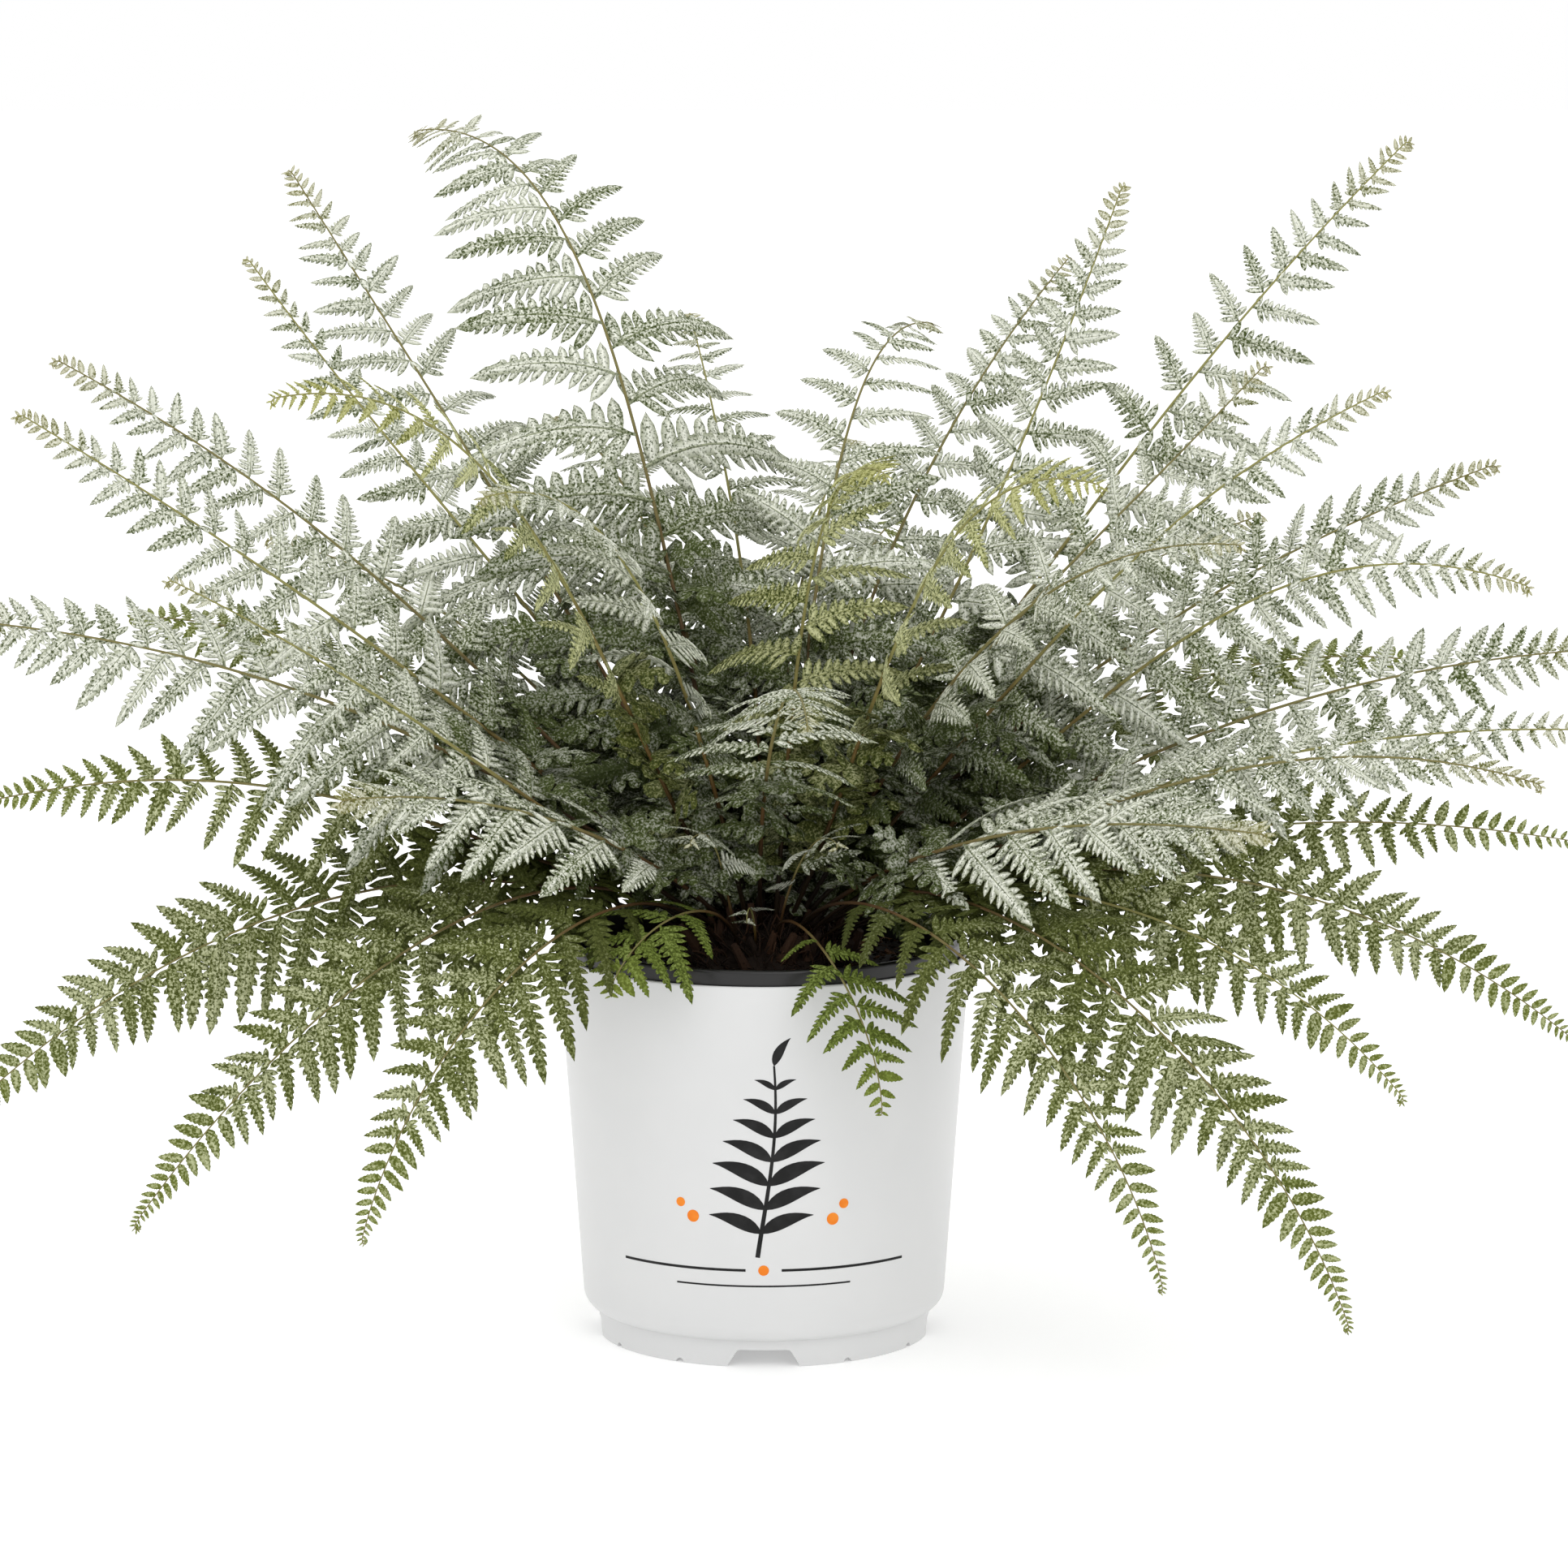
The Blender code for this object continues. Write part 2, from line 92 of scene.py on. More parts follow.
soft_box("key_light", (0.5, -2.4, 2.3), (0, 0, 0.2), 1.6, 11)
soft_box("top_light", (-0.6, 0.3, 2.2), (0, 0, 0.1), 1.4, 7)

FLOOR_HALF = 6.0
corners = [(-1, -1), (1, -1), (1, 1), (-1, 1)]
table_mesh = bpy.data.meshes.new("table")
table_mesh.from_pydata([(x * FLOOR_HALF, y * FLOOR_HALF, 0) for x, y in corners], [], [(0, 1, 2, 3)])
table = added("table", table_mesh)
table_paint = bpy.data.materials.new("table_white")
table_paint.use_nodes = True
TABLE_LOOK = {
    "Base Color": (0.97, 0.97, 0.97, 1), "Roughness": 0.9, "Specular IOR Level": 0.2,
    "Emission Color": (1, 1, 1, 1), "Emission Strength": 0.22,
}
for label, value in TABLE_LOOK.items():
    table_paint.node_tree.nodes["Principled BSDF"].inputs[label].default_value = value
table_mesh.materials.append(table_paint)


# ------------------------------------------------------------------ white outer pot
# Injection-moulded satin white plastic, 165 mm across its thin lip. It has a foot ring with four
# drain notches and small vent nicks, a rounded shoulder, and one straight tapered wall.
class Wire:
    """A socket in a node tree. Sums written on it become Math nodes in that tree."""

    def __init__(self, tree, socket=None):
        self.tree = tree
        self.socket = socket

    def node(self, kind, *values, out=None, **named):
        """Adds a node and gives one of its outputs. Values fill its sockets in order. A named value is
        a setting, or a socket if the name has capitals, and an underscore there stands for a space."""
        made = self.tree.nodes.new(kind)
        for name, value in named.items():
            if name == "stops":
                elements = made.color_ramp.elements
                while len(elements) < len(value):
                    elements.new(0.5)
                for element, (position, colour) in zip(elements, value):
                    element.position = position
                    element.color = (*colour, 1)
            elif name.islower():
                setattr(made, name, value)
        filled = list(zip(made.inputs, values))
        for name, value in named.items():
            if not name.islower():
                label = name.replace("_", " ")
                filled.append((next(s for s in made.inputs if s.name == label and s.enabled), value))
        for socket, value in filled:
            for each in value if isinstance(value, list) else [value]:
                if isinstance(each, Wire):
                    self.tree.links.new(each.socket, socket)
                else:
                    socket.default_value = each
        found = [s for s in made.outputs if s.enabled and (out is None or s.name == out)]
        return Wire(self.tree, found[0] if found else None)

    def beside(self, name):
        """Another output of the node that this socket belongs to."""
        outputs = self.socket.node.outputs
        return Wire(self.tree, next(s for s in outputs if s.name == name and s.enabled))

    def math(self, operation, *others):
        """This value, and any others after it, through a Math node."""
        return self.node("ShaderNodeMath", self, *others, operation=operation)

    def vector(self, operation, *others, out=None):
        """This vector, and any others after it, through a Vector Math node."""
        return self.node("ShaderNodeVectorMath", self, *others, out=out, operation=operation)

    def scaled(self, amount):
        """This vector times a number."""
        return self.node("ShaderNodeVectorMath", self, operation="SCALE", Scale=amount)

    def then(self, kind, **named):
        """This geometry through a Geometry Nodes node, as its first socket."""
        return self.node("GeometryNode" + kind, self, **named)

    def __add__(self, other):
        return self.math("ADD", other)

    def __sub__(self, other):
        return self.math("SUBTRACT", other)

    def __rsub__(self, other):
        return self.node("ShaderNodeMath", other, self, operation="SUBTRACT")

    def __mul__(self, other):
        return self.math("MULTIPLY", other)

    def __truediv__(self, other):
        return self.math("DIVIDE", other)

    def __rtruediv__(self, other):
        return self.node("ShaderNodeMath", other, self, operation="DIVIDE")

    def __pow__(self, other):
        return self.math("POWER", other)

    __radd__ = __add__
    __rmul__ = __mul__

    def between(self, low, high):
        """0 where this value is low, 1 where it is high, and smooth between."""
        smooth = {"interpolation_type": "SMOOTHSTEP"}
        return self.node("ShaderNodeMapRange", Value=self, From_Min=low, From_Max=high, **smooth)


def finish_of(name, roughness, specular=0.5):
    """A new Principled material, and the object coordinates in its tree."""
    made = bpy.data.materials.new(name)
    made.use_nodes = True
    inputs = made.node_tree.nodes["Principled BSDF"].inputs
    inputs["Roughness"].default_value = roughness
    inputs["Specular IOR Level"].default_value = specular
    return made, Wire(made.node_tree).node("ShaderNodeTexCoord", out="Object")


def noise_at(place, scale, detail, roughness=0.5):
    """Noise whose features are about 1 / scale metres across."""
    look = {"Scale": scale, "Detail": detail, "Roughness": roughness}
    return place.node("ShaderNodeTexNoise", out="Fac", Vector=place, **look)


def attribute(wire, name):
    """A number that the mesh carries."""
    return wire.node("ShaderNodeAttribute", out="Fac", attribute_name=name)


def mixed(factor, first, second):
    """The colour between two colours, each a colour or a Wire."""
    first, second = (c if isinstance(c, Wire) else (*c, 1) for c in (first, second))
    return factor.node("ShaderNodeMix", data_type="RGBA", Factor=factor, A=first, B=second)


def paint(material, colour, roughness=None, bump=None):
    """Links a material's colour, and its roughness and bump if it has them. bump is its height,
    strength and distance."""
    tree = material.node_tree
    inputs = tree.nodes["Principled BSDF"].inputs
    tree.links.new(colour.socket, inputs["Base Color"])
    if roughness:
        tree.links.new(roughness.socket, inputs["Roughness"])
    if bump:
        height, strength, distance = bump
        raised = height.node("ShaderNodeBump", Strength=strength, Distance=distance, Height=height)
        tree.links.new(raised.socket, inputs["Normal"])


def arc(centre_r, centre_z, radius, first, last, steps):
    """Points (r, z) along an arc of a turned profile, with its angles from +r towards +z."""
    angles = [first + (last - first) * k / steps for k in range(steps + 1)]
    return [(centre_r + radius * math.cos(a), centre_z + radius * math.sin(a)) for a in angles]


def rounded_top(outer, inner, top, radius, steps):
    """The top edge of a wall, rounded at its outer face and at its inner one."""
    points = arc(outer - radius, top - radius, radius, 0, math.pi / 2, steps)
    return points + arc(inner + radius, top - radius, radius, math.pi / 2, math.pi, steps)


TURN_STEPS = 160
SHARP = math.radians(35)
WELD = 1e-6


def turned(profile):
    """A bmesh of the solid that a profile of (r, z) points sweeps about Z."""
    bm = bmesh.new()
    points = [bm.verts.new((r, 0, z)) for r, z in profile]
    edges = [bm.edges.new(pair) for pair in zip(points, points[1:])]
    bmesh.ops.spin(
        bm, geom=points + edges, axis=(0, 0, 1), angle=math.tau, steps=TURN_STEPS, use_merge=True
    )
    bmesh.ops.remove_doubles(bm, verts=bm.verts, dist=WELD)
    bmesh.ops.recalc_face_normals(bm, faces=bm.faces)
    return bm


def new_piece(name, bm, *materials):
    """An object made from a bmesh, shaded smooth except over sharp edges."""
    mesh = bpy.data.meshes.new(name)
    bm.to_mesh(mesh)
    bm.free()
    mesh.shade_smooth()
    mesh.set_sharp_from_angle(angle=SHARP)
    for each in materials:
        mesh.materials.append(each)
    return added(name, mesh)


def baked(piece):
    """Turns a piece with modifiers into a plain mesh."""
    bpy.context.view_layer.update()
    graph = bpy.context.evaluated_depsgraph_get()
    mesh = bpy.data.meshes.new_from_object(piece.evaluated_get(graph), depsgraph=graph)
    name = piece.name
    if piece.type == "MESH":
        piece.modifiers.clear()
        piece.data = mesh
        return piece
    bpy.data.objects.remove(piece)
    return added(name, mesh)


def cut_out(piece, bm):
    """Cuts the closed shapes of a bmesh out of a piece."""
    bmesh.ops.recalc_face_normals(bm, faces=bm.faces)
    cutter = new_piece("cutter", bm)
    step = piece.modifiers.new("cut", "BOOLEAN")
    step.operation = "DIFFERENCE"
    step.solver = "EXACT"
    step.object = cutter
    baked(piece)
    bpy.data.objects.remove(cutter)
    piece.data.set_sharp_from_angle(angle=SHARP)


def prism(bm, outline, start, end, heading):
    """An outline of (sideways, z) points pushed outwards from the axis, from start to end."""
    turn = Matrix.Rotation(heading, 4, "Z")
    near = [bm.verts.new(turn @ Vector((start, a, z))) for a, z in outline]
    far = [bm.verts.new(turn @ Vector((end, a, z))) for a, z in outline]
    bm.faces.new(near)
    bm.faces.new(far[::-1])
    for k in range(len(outline)):
        after = (k + 1) % len(outline)
        bm.faces.new((near[after], near[k], far[k], far[after]))


def drilled(piece, radius, circle, count, bottom, top, offset):
    """Cuts upright round holes, spaced evenly on a circle, through a piece."""
    bm = bmesh.new()
    for k in range(count):
        heading = offset + math.tau * k / count
        made = bmesh.ops.create_cone(
            bm, cap_ends=True, segments=24, radius1=radius, radius2=radius, depth=top - bottom
        )
        place = (circle * math.cos(heading), circle * math.sin(heading), (bottom + top) / 2)
        bmesh.ops.translate(bm, verts=made["verts"], vec=place)
    cut_out(piece, bm)


POT_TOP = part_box("outer_pot")[1].z
LIP_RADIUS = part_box("outer_pot")[1].x
LOWER_RADIUS = 0.0725
SHOULDER_HEIGHT = 0.018
SHOULDER_RADIUS = 0.0075
SHOULDER_SWEEP = math.radians(75)
SHOULDER_CENTRE = LOWER_RADIUS - SHOULDER_RADIUS
POT_WALL = 0.0016
LIP_ROUND = 0.0007
FLOOR_TOP = SHOULDER_HEIGHT - (SHOULDER_RADIUS - POT_WALL)
FLOOR_UNDER = FLOOR_TOP - 0.0018
FOOT_HEIGHT = SHOULDER_HEIGHT - SHOULDER_RADIUS * math.sin(SHOULDER_SWEEP)
FOOT_RADIUS = SHOULDER_CENTRE + SHOULDER_RADIUS * math.cos(SHOULDER_SWEEP) - 0.0006
FOOT_INNER = FOOT_RADIUS - 0.0022
FOOT_ROUND = 0.0004
FOOT_EDGE = 0.0002
NOTCH_HEIGHT = 0.007
NICK_RADIUS = 0.0018
NICK_ASIDE = math.radians(30)
UNDER_FOOT = -0.002
CUT_PAST = 0.003


def wall_radius(height):
    """Outer face of the straight wall."""
    climb = (height - SHOULDER_HEIGHT) / (POT_TOP - SHOULDER_HEIGHT)
    return LOWER_RADIUS + (LIP_RADIUS - LOWER_RADIUS) * climb


def inner_wall(height):
    return wall_radius(height) - POT_WALL


pot_profile = [(0, FLOOR_UNDER), (FOOT_INNER, FLOOR_UNDER)]
pot_profile += arc(FOOT_INNER + FOOT_ROUND, FOOT_ROUND, FOOT_ROUND, math.pi, 1.5 * math.pi, 4)
pot_profile += arc(FOOT_RADIUS - FOOT_ROUND, FOOT_ROUND, FOOT_ROUND, -math.pi / 2, 0, 4)
pot_profile += [(FOOT_RADIUS, FOOT_HEIGHT - FOOT_EDGE), (FOOT_RADIUS + FOOT_EDGE, FOOT_HEIGHT)]
pot_profile += arc(SHOULDER_CENTRE, SHOULDER_HEIGHT, SHOULDER_RADIUS, -SHOULDER_SWEEP, 0, 12)
pot_profile += [(wall_radius(h), h) for h in (0.04, 0.07, 0.10, 0.13, 0.148, POT_TOP - 0.0012)]
pot_profile += rounded_top(LIP_RADIUS, LIP_RADIUS - POT_WALL, POT_TOP, LIP_ROUND, 5)
pot_profile += [(inner_wall(h), h) for h in (0.148, 0.10, 0.05)]
pot_profile += arc(SHOULDER_CENTRE, SHOULDER_HEIGHT, SHOULDER_RADIUS - POT_WALL, 0, -math.pi / 2, 8)
pot_profile += [(0, FLOOR_TOP)]

# satin white: faint cloudiness in the plastic and a fine moulded texture
white_plastic, place = finish_of("white_plastic", 0.36)
cloud = noise_at(place, 22.0, 3.0)
white = mixed(cloud.between(0.3, 0.7), (0.655, 0.658, 0.658), (0.675, 0.677, 0.675))
paint(white_plastic, white, 0.33 + cloud * 0.10, (noise_at(place, 900.0, 2.0), 0.06, 0.0002))

outer_pot = new_piece("white_pot", turned(pot_profile), white_plastic)
cutters = bmesh.new()
notch = [(-0.0158, UNDER_FOOT), (0.0158, UNDER_FOOT), (0.0112, 0.0056), (0.0104, 0.0067)]
notch += [(0.0092, NOTCH_HEIGHT), (-0.0092, NOTCH_HEIGHT), (-0.0104, 0.0067), (-0.0112, 0.0056)]
nick = arc(0, 0, NICK_RADIUS, 0, math.pi, 10) + [(-NICK_RADIUS, UNDER_FOOT), (NICK_RADIUS, UNDER_FOOT)]
for k in range(4):
    heading = -math.pi / 2 + math.tau * k / 4
    prism(cutters, notch, FOOT_INNER * 0.866, FOOT_RADIUS + CUT_PAST, heading)
    for aside in (-NICK_ASIDE, NICK_ASIDE):
        prism(cutters, nick, FOOT_INNER - CUT_PAST, FOOT_RADIUS + CUT_PAST, heading + aside)
cut_out(outer_pot, cutters)
drilled(outer_pot, 0.005, 0.045, 4, FLOOR_UNDER - 0.002, FLOOR_TOP + 0.002, math.pi / 4)
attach(outer_pot, "root")
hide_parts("outer_pot")


# ------------------------------------------------------------------ print on the pot
# A plain sprig with small berries and thin rules, screen printed in black and orange ink on the
# front of the wall. Each stroke is a film of ink 0.05 mm thick that follows the taper.
INK = 0.00005
PRINT_MIDDLE = 0.0865
PRINT_SCALE = 1.18
STEM_STEPS = 24
DOT_STEPS = 14
LEAF_STEPS = 10
BERRIES = [
    (0.0235, -0.0215, 0.0021), (0.0275, -0.0165, 0.0017), (-0.0240, -0.0205, 0.0021),
    (-0.0285, -0.0160, 0.0016), (0.0, -0.0385, 0.0018),
]
RULES = [
    (-0.052, -0.006, -0.0385, 0.0009), (0.006, 0.052, -0.0385, 0.0009), (-0.030, 0.030, -0.0440, 0.0006),
]


def on_wall(across, up, lift):
    """A point on the wall's face, or just off it, from its place in the print."""
    height = PRINT_MIDDLE + up * PRINT_SCALE
    radius = wall_radius(height) + lift
    heading = -math.pi / 2 + across * PRINT_SCALE / radius
    return radius * math.cos(heading), radius * math.sin(heading), height


def ink_stroke(bm, path, widths, index):
    """A stroke of ink along (across, up) points, with its full width at each."""
    rings = []
    for k, (x, y) in enumerate(path):
        before, after = path[max(0, k - 1)], path[min(len(path) - 1, k + 1)]
        ahead = Vector((after[0] - before[0], after[1] - before[1])).normalized()
        side = Vector((-ahead.y, ahead.x)) * widths[k] / 2
        corners = [(1, 0), (1, 1), (-1, 1), (-1, 0)]
        rings.append(
            [bm.verts.new(on_wall(x + side.x * s, y + side.y * s, INK * (0.2 + t))) for s, t in corners]
        )
    faces = [bm.faces.new(rings[0]), bm.faces.new(rings[-1][::-1])]
    for lower, upper in zip(rings, rings[1:]):
        for k in range(4):
            after = (k + 1) % 4
            faces.append(bm.faces.new((lower[after], lower[k], upper[k], upper[after])))
    for face in faces:
        face.material_index = index


def ink_leaf(bm, x, y, angle, length, width):
    """A pointed leaf with a slight curve, from its foot."""
    path, widths = [], []
    for k in range(LEAF_STEPS + 1):
        u = k / LEAF_STEPS
        bend = angle + 0.35 * u * (1 if math.cos(angle) < 0 else -1)
        path.append((x + length * u * math.cos(bend), y + length * u * math.sin(bend)))
        widths.append(width * max(0.04, math.sin(math.pi * u**0.75)))
    ink_stroke(bm, path, widths, 0)


sprig = bmesh.new()
stem_path = [
    (0.004 * math.sin(2.6 * (k / STEM_STEPS - 0.2)), -0.034 + 0.066 * k / STEM_STEPS)
    for k in range(STEM_STEPS + 1)
]
ink_stroke(sprig, stem_path, [0.0016 - 0.0009 * k / STEM_STEPS for k in range(STEM_STEPS + 1)], 0)
for k in range(3, STEM_STEPS, 3):
    share = k / STEM_STEPS
    size = 0.027 * (1 - share) ** 0.6 * min(1, 0.62 + share)
    lean = math.radians(38 + 10 * share)
    for angle in (lean, math.pi - lean):
        ink_leaf(sprig, *stem_path[k], angle, size, size * 0.26)
ink_leaf(sprig, *stem_path[-1], math.radians(80), 0.011, 0.0032)
for x, y, radius in BERRIES:
    angles = [math.pi * k / DOT_STEPS for k in range(DOT_STEPS + 1)]
    widths = [max(radius * 0.04, 2 * radius * math.sin(a)) for a in angles]
    ink_stroke(sprig, [(x - radius * math.cos(a), y) for a in angles], widths, 1)
for start, end, up, width in RULES:
    path = [(start + (end - start) * k / STEM_STEPS, up) for k in range(STEM_STEPS + 1)]
    ink_stroke(sprig, path, [width] * (STEM_STEPS + 1), 0)
bmesh.ops.recalc_face_normals(sprig, faces=sprig.faces)

# ink: nearly flat colour with slightly uneven coverage
INKS = {
    "black_ink": ((0.006, 0.006, 0.006), (0.016, 0.016, 0.016)),
    "orange_ink": ((0.80, 0.20, 0.012), (0.88, 0.29, 0.03)),
}
inks = []
for name, (thick, thin) in INKS.items():
    ink, place = finish_of(name, 0.42, 0.2)
    paint(ink, mixed(noise_at(place, 160.0, 3.0).between(0.35, 0.75), thick, thin))
    inks.append(ink)
print_piece = new_piece("sprig_print", sprig, *inks)
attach(print_piece, "root")


# ------------------------------------------------------------------ black grow pot
# The thin black nursery pot that the fern was grown in. It drops inside the white pot, and only
# its rolled rim stands 6 mm above the white lip.
rim_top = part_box("grow_pot")[1].z
rim_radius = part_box("grow_pot")[1].x
grow_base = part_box("grow_pot")[0].z
GROW_WALL = 0.0012
NEST_GAP = 0.0015
RIM_WIDTH = 0.0032
RIM_ROUND = 0.0014
RIM_EDGE = 0.0003
rim_bottom = rim_top - 0.0095


def grow_wall(height):
    return inner_wall(height) - NEST_GAP


grow_profile = [(0, grow_base), (SHOULDER_CENTRE, grow_base)]
grow_profile += [(grow_wall(h), h) for h in (SHOULDER_HEIGHT, rim_bottom)]
grow_profile += [(rim_radius - RIM_EDGE, rim_bottom), (rim_radius, rim_bottom + RIM_EDGE)]
grow_profile += rounded_top(rim_radius, rim_radius - RIM_WIDTH, rim_top, RIM_ROUND, 6)
grow_profile += [(grow_wall(h) - GROW_WALL, h) for h in (rim_bottom, SHOULDER_HEIGHT)]
grow_profile += [(SHOULDER_CENTRE - GROW_WALL, grow_base + GROW_WALL), (0, grow_base + GROW_WALL)]

# black plastic: dull sheen with dust and dried splashes of mix
black_plastic, place = finish_of("black_plastic", 0.4)
dusty = noise_at(place, 70.0, 5.0, 0.65).between(0.52, 0.80)
black = mixed(dusty * 0.6, (0.0045, 0.004, 0.004), (0.032, 0.027, 0.022))
paint(black_plastic, black, 0.30 + dusty * 0.35, (noise_at(place, 620.0, 2.0), 0.12, 0.0002))

grow_pot = new_piece("black_grow_pot", turned(grow_profile), black_plastic)
drilled(grow_pot, 0.004, 0.052, 8, grow_base - 0.002, grow_base + 0.004, 0)
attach(grow_pot, "root")
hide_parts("grow_pot")


# ------------------------------------------------------------------ potting mix
# Peat and bark, filled to 12 mm under the rim and settled lower beside the wall. The block has an
# uneven top, and crumbs, bark chips and a few threads of fibre lie on it.
mix_low, mix_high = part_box("potting_mix")
mix_top = mix_high.z
mix_radius = mix_high.x
RINGS = 26
SPOKES = 96
SETTLED = 0.010
MIX_GAP = 0.0003


def mix_surface(radius, x, y):
    """Height of the mix, with a fall beside the wall and a lumpy top."""
    fall = max(0.0, radius - (mix_radius - SETTLED)) / SETTLED * 0.003
    large = noise.noise(Vector((x, y, 0.3)) * 60) * 0.0016
    small = noise.noise(Vector((x, y, 7.1)) * 190) * 0.0009
    return mix_top - 0.0005 - fall + (large + small)


def on_spoke(radius, n):
    heading = math.tau * n / SPOKES
    return radius * math.cos(heading), radius * math.sin(heading)


block = bmesh.new()
centre = block.verts.new((0, 0, mix_surface(0, 0, 0)))
rows = []
for k in range(1, RINGS + 1):
    radius = mix_radius * k / RINGS
    spots = [on_spoke(radius, n) for n in range(SPOKES)]
    rows.append([block.verts.new((x, y, mix_surface(radius, x, y))) for x, y in spots])
for radius, height in ((grow_wall(SHOULDER_HEIGHT), SHOULDER_HEIGHT), (SHOULDER_CENTRE, mix_low.z)):
    inside = radius - GROW_WALL - MIX_GAP
    rows.append([block.verts.new((*on_spoke(inside, n), height)) for n in range(SPOKES)])
for n in range(SPOKES):
    block.faces.new((centre, rows[0][n], rows[0][(n + 1) % SPOKES]))
for inner, outer in zip(rows, rows[1:]):
    for n in range(SPOKES):
        after = (n + 1) % SPOKES
        block.faces.new((inner[n], outer[n], outer[after], inner[after]))
block.faces.new(rows[-1])
bmesh.ops.recalc_face_normals(block, faces=block.faces)


def new_tree(name, **sockets):
    """A Geometry Nodes tree with named inputs, listed by kind. Gives the tree and a Wire for each."""
    tree = bpy.data.node_groups.new(name, "GeometryNodeTree")
    tree.interface.new_socket("Geometry", in_out="OUTPUT", socket_type="NodeSocketGeometry")
    labels = [(label, kind) for kind, names in sockets.items() for label in names.split(", ")]
    for label, kind in labels:
        tree.interface.new_socket(label, in_out="INPUT", socket_type="NodeSocket" + kind)
    entry = Wire(tree).node("NodeGroupInput")
    return tree, {label: entry.beside(label) for label, kind in labels}


def end_tree(geometry, *materials):
    """Makes a tree's copies real, gives them each material where it is chosen, and ends the tree."""
    geometry = geometry.then("RealizeInstances")
    for material, chosen in materials:
        geometry = geometry.then("SetMaterial", Selection=chosen, Material=material)
    geometry.node("NodeGroupOutput", Geometry=geometry)


def grow(piece, tree, values):
    """Runs a tree on a piece with these inputs and gives the plain mesh piece that comes out."""
    step = piece.modifiers.new(tree.name, "NODES")
    step.node_group = tree
    for socket in tree.interface.items_tree:
        if socket.in_out == "INPUT" and socket.name in values:
            step[socket.identifier] = values[socket.name]
    return baked(piece)


def store(geometry, name, value, domain="POINT"):
    """Geometry that carries a number for its material to read."""
    kind = {"data_type": "FLOAT", "domain": domain}
    return geometry.then("StoreNamedAttribute", Name=name, Value=value, **kind)


def copies(spots, shape, turn, size, **more):
    """A copy of a shape on each point."""
    more |= {"Rotation": turn, "Scale": size}
    return spots.then("InstanceOnPoints", Instance=shape, **more)


def random_value(wire, low, high, seed):
    """A random number for each point or copy, or a random vector if low and high are vectors."""
    kind = "FLOAT_VECTOR" if isinstance(low, tuple) else "FLOAT"
    return wire.node("FunctionNodeRandomValue", data_type=kind, Min=low, Max=high, Seed=seed)


def join(*parts):
    return parts[0].node("GeometryNodeJoinGeometry", Geometry=list(parts))


def bent_line(wire, steps, start, middle, end):
    ends = {"Start": start, "Middle": middle, "End": end}
    return wire.node("GeometryNodeCurveQuadraticBezier", Resolution=steps, **ends)


def rod(line, sides, radius, **more):
    """A closed tube along a line."""
    ring = {"mode": "RADIUS", "Resolution": sides, "Radius": radius}
    more |= {"Profile Curve": line.node("GeometryNodeCurvePrimitiveCircle", **ring), "Fill Caps": True}
    return line.then("CurveToMesh", **more)


litter_tree, litter = new_tree(
    "litter", Geometry="Geometry", Float="Crumbs, Chips, Threads", Material="Mix Material", Int="Seed"
)
ground = litter["Geometry"]
facing = ground.node("GeometryNodeInputNormal")
upward = facing.vector("DOT_PRODUCT", (0.0, 0.0, 1.0), out="Value").math("GREATER_THAN", 0.6)


def litter_layer(density, seed, shape, low, high, sink, tone_low, tone_high, flat):
    """Copies of a shape strewn over the top of the mix."""
    where = {"Selection": upward, "Density": density, "Seed": litter["Seed"] + seed}
    spots = ground.then("DistributePointsOnFaces", **where)
    turn = random_value(spots, (-flat, -flat, 0.0), (flat, flat, math.tau), seed + 1)
    strewn = copies(spots, shape, turn, random_value(spots, low, high, seed + 2))
    sunk = strewn.then("TranslateInstances", Translation=(0.0, 0.0, sink), Local_Space=False)
    return store(sunk, "tone", random_value(sunk, tone_low, tone_high, seed + 3), "INSTANCE")


def roughened(shape, amount, scale):
    """The shape with its points pushed about, so that no two sides are alike."""
    spot = shape.node("GeometryNodeInputPosition")
    push = shape.node("ShaderNodeTexNoise", out="Color", Vector=spot, Scale=scale, Detail=1.0)
    offset = push.vector("MULTIPLY_ADD", (amount,) * 3, (-amount / 2,) * 3)
    return shape.then("SetPosition", Offset=offset)


wire = Wire(litter_tree)
ball = wire.node("GeometryNodeMeshIcoSphere", Radius=1.0, Subdivisions=1)
steps = {"Vertices X": 3, "Vertices Y": 2, "Vertices Z": 2}
slab = wire.node("GeometryNodeMeshCube", Size=(2.6, 1.5, 0.55), **steps)
thread = rod(bent_line(wire, 6, (-1.0, 0.0, 0.0), (0.1, 0.9, 0.5), (1.0, -0.1, 0.05)), 3, 0.035)
litter_layers = [
    (litter["Crumbs"], 10, roughened(ball, 1.1, 1.3), 0.0004, 0.0013, -0.0001, 0.0, 0.75, 3.0),
    (litter["Chips"], 20, roughened(slab, 0.9, 0.9), 0.0006, 0.0019, 0.0004, 0.35, 1.0, 0.5),
    (litter["Threads"], 30, thread, 0.003, 0.008, 0.0008, 0.5, 0.9, 0.3),
]
strewn_ground = join(store(ground, "tone", 0.1), *(litter_layer(*layer) for layer in litter_layers))
end_tree(strewn_ground, (litter["Mix Material"], True))

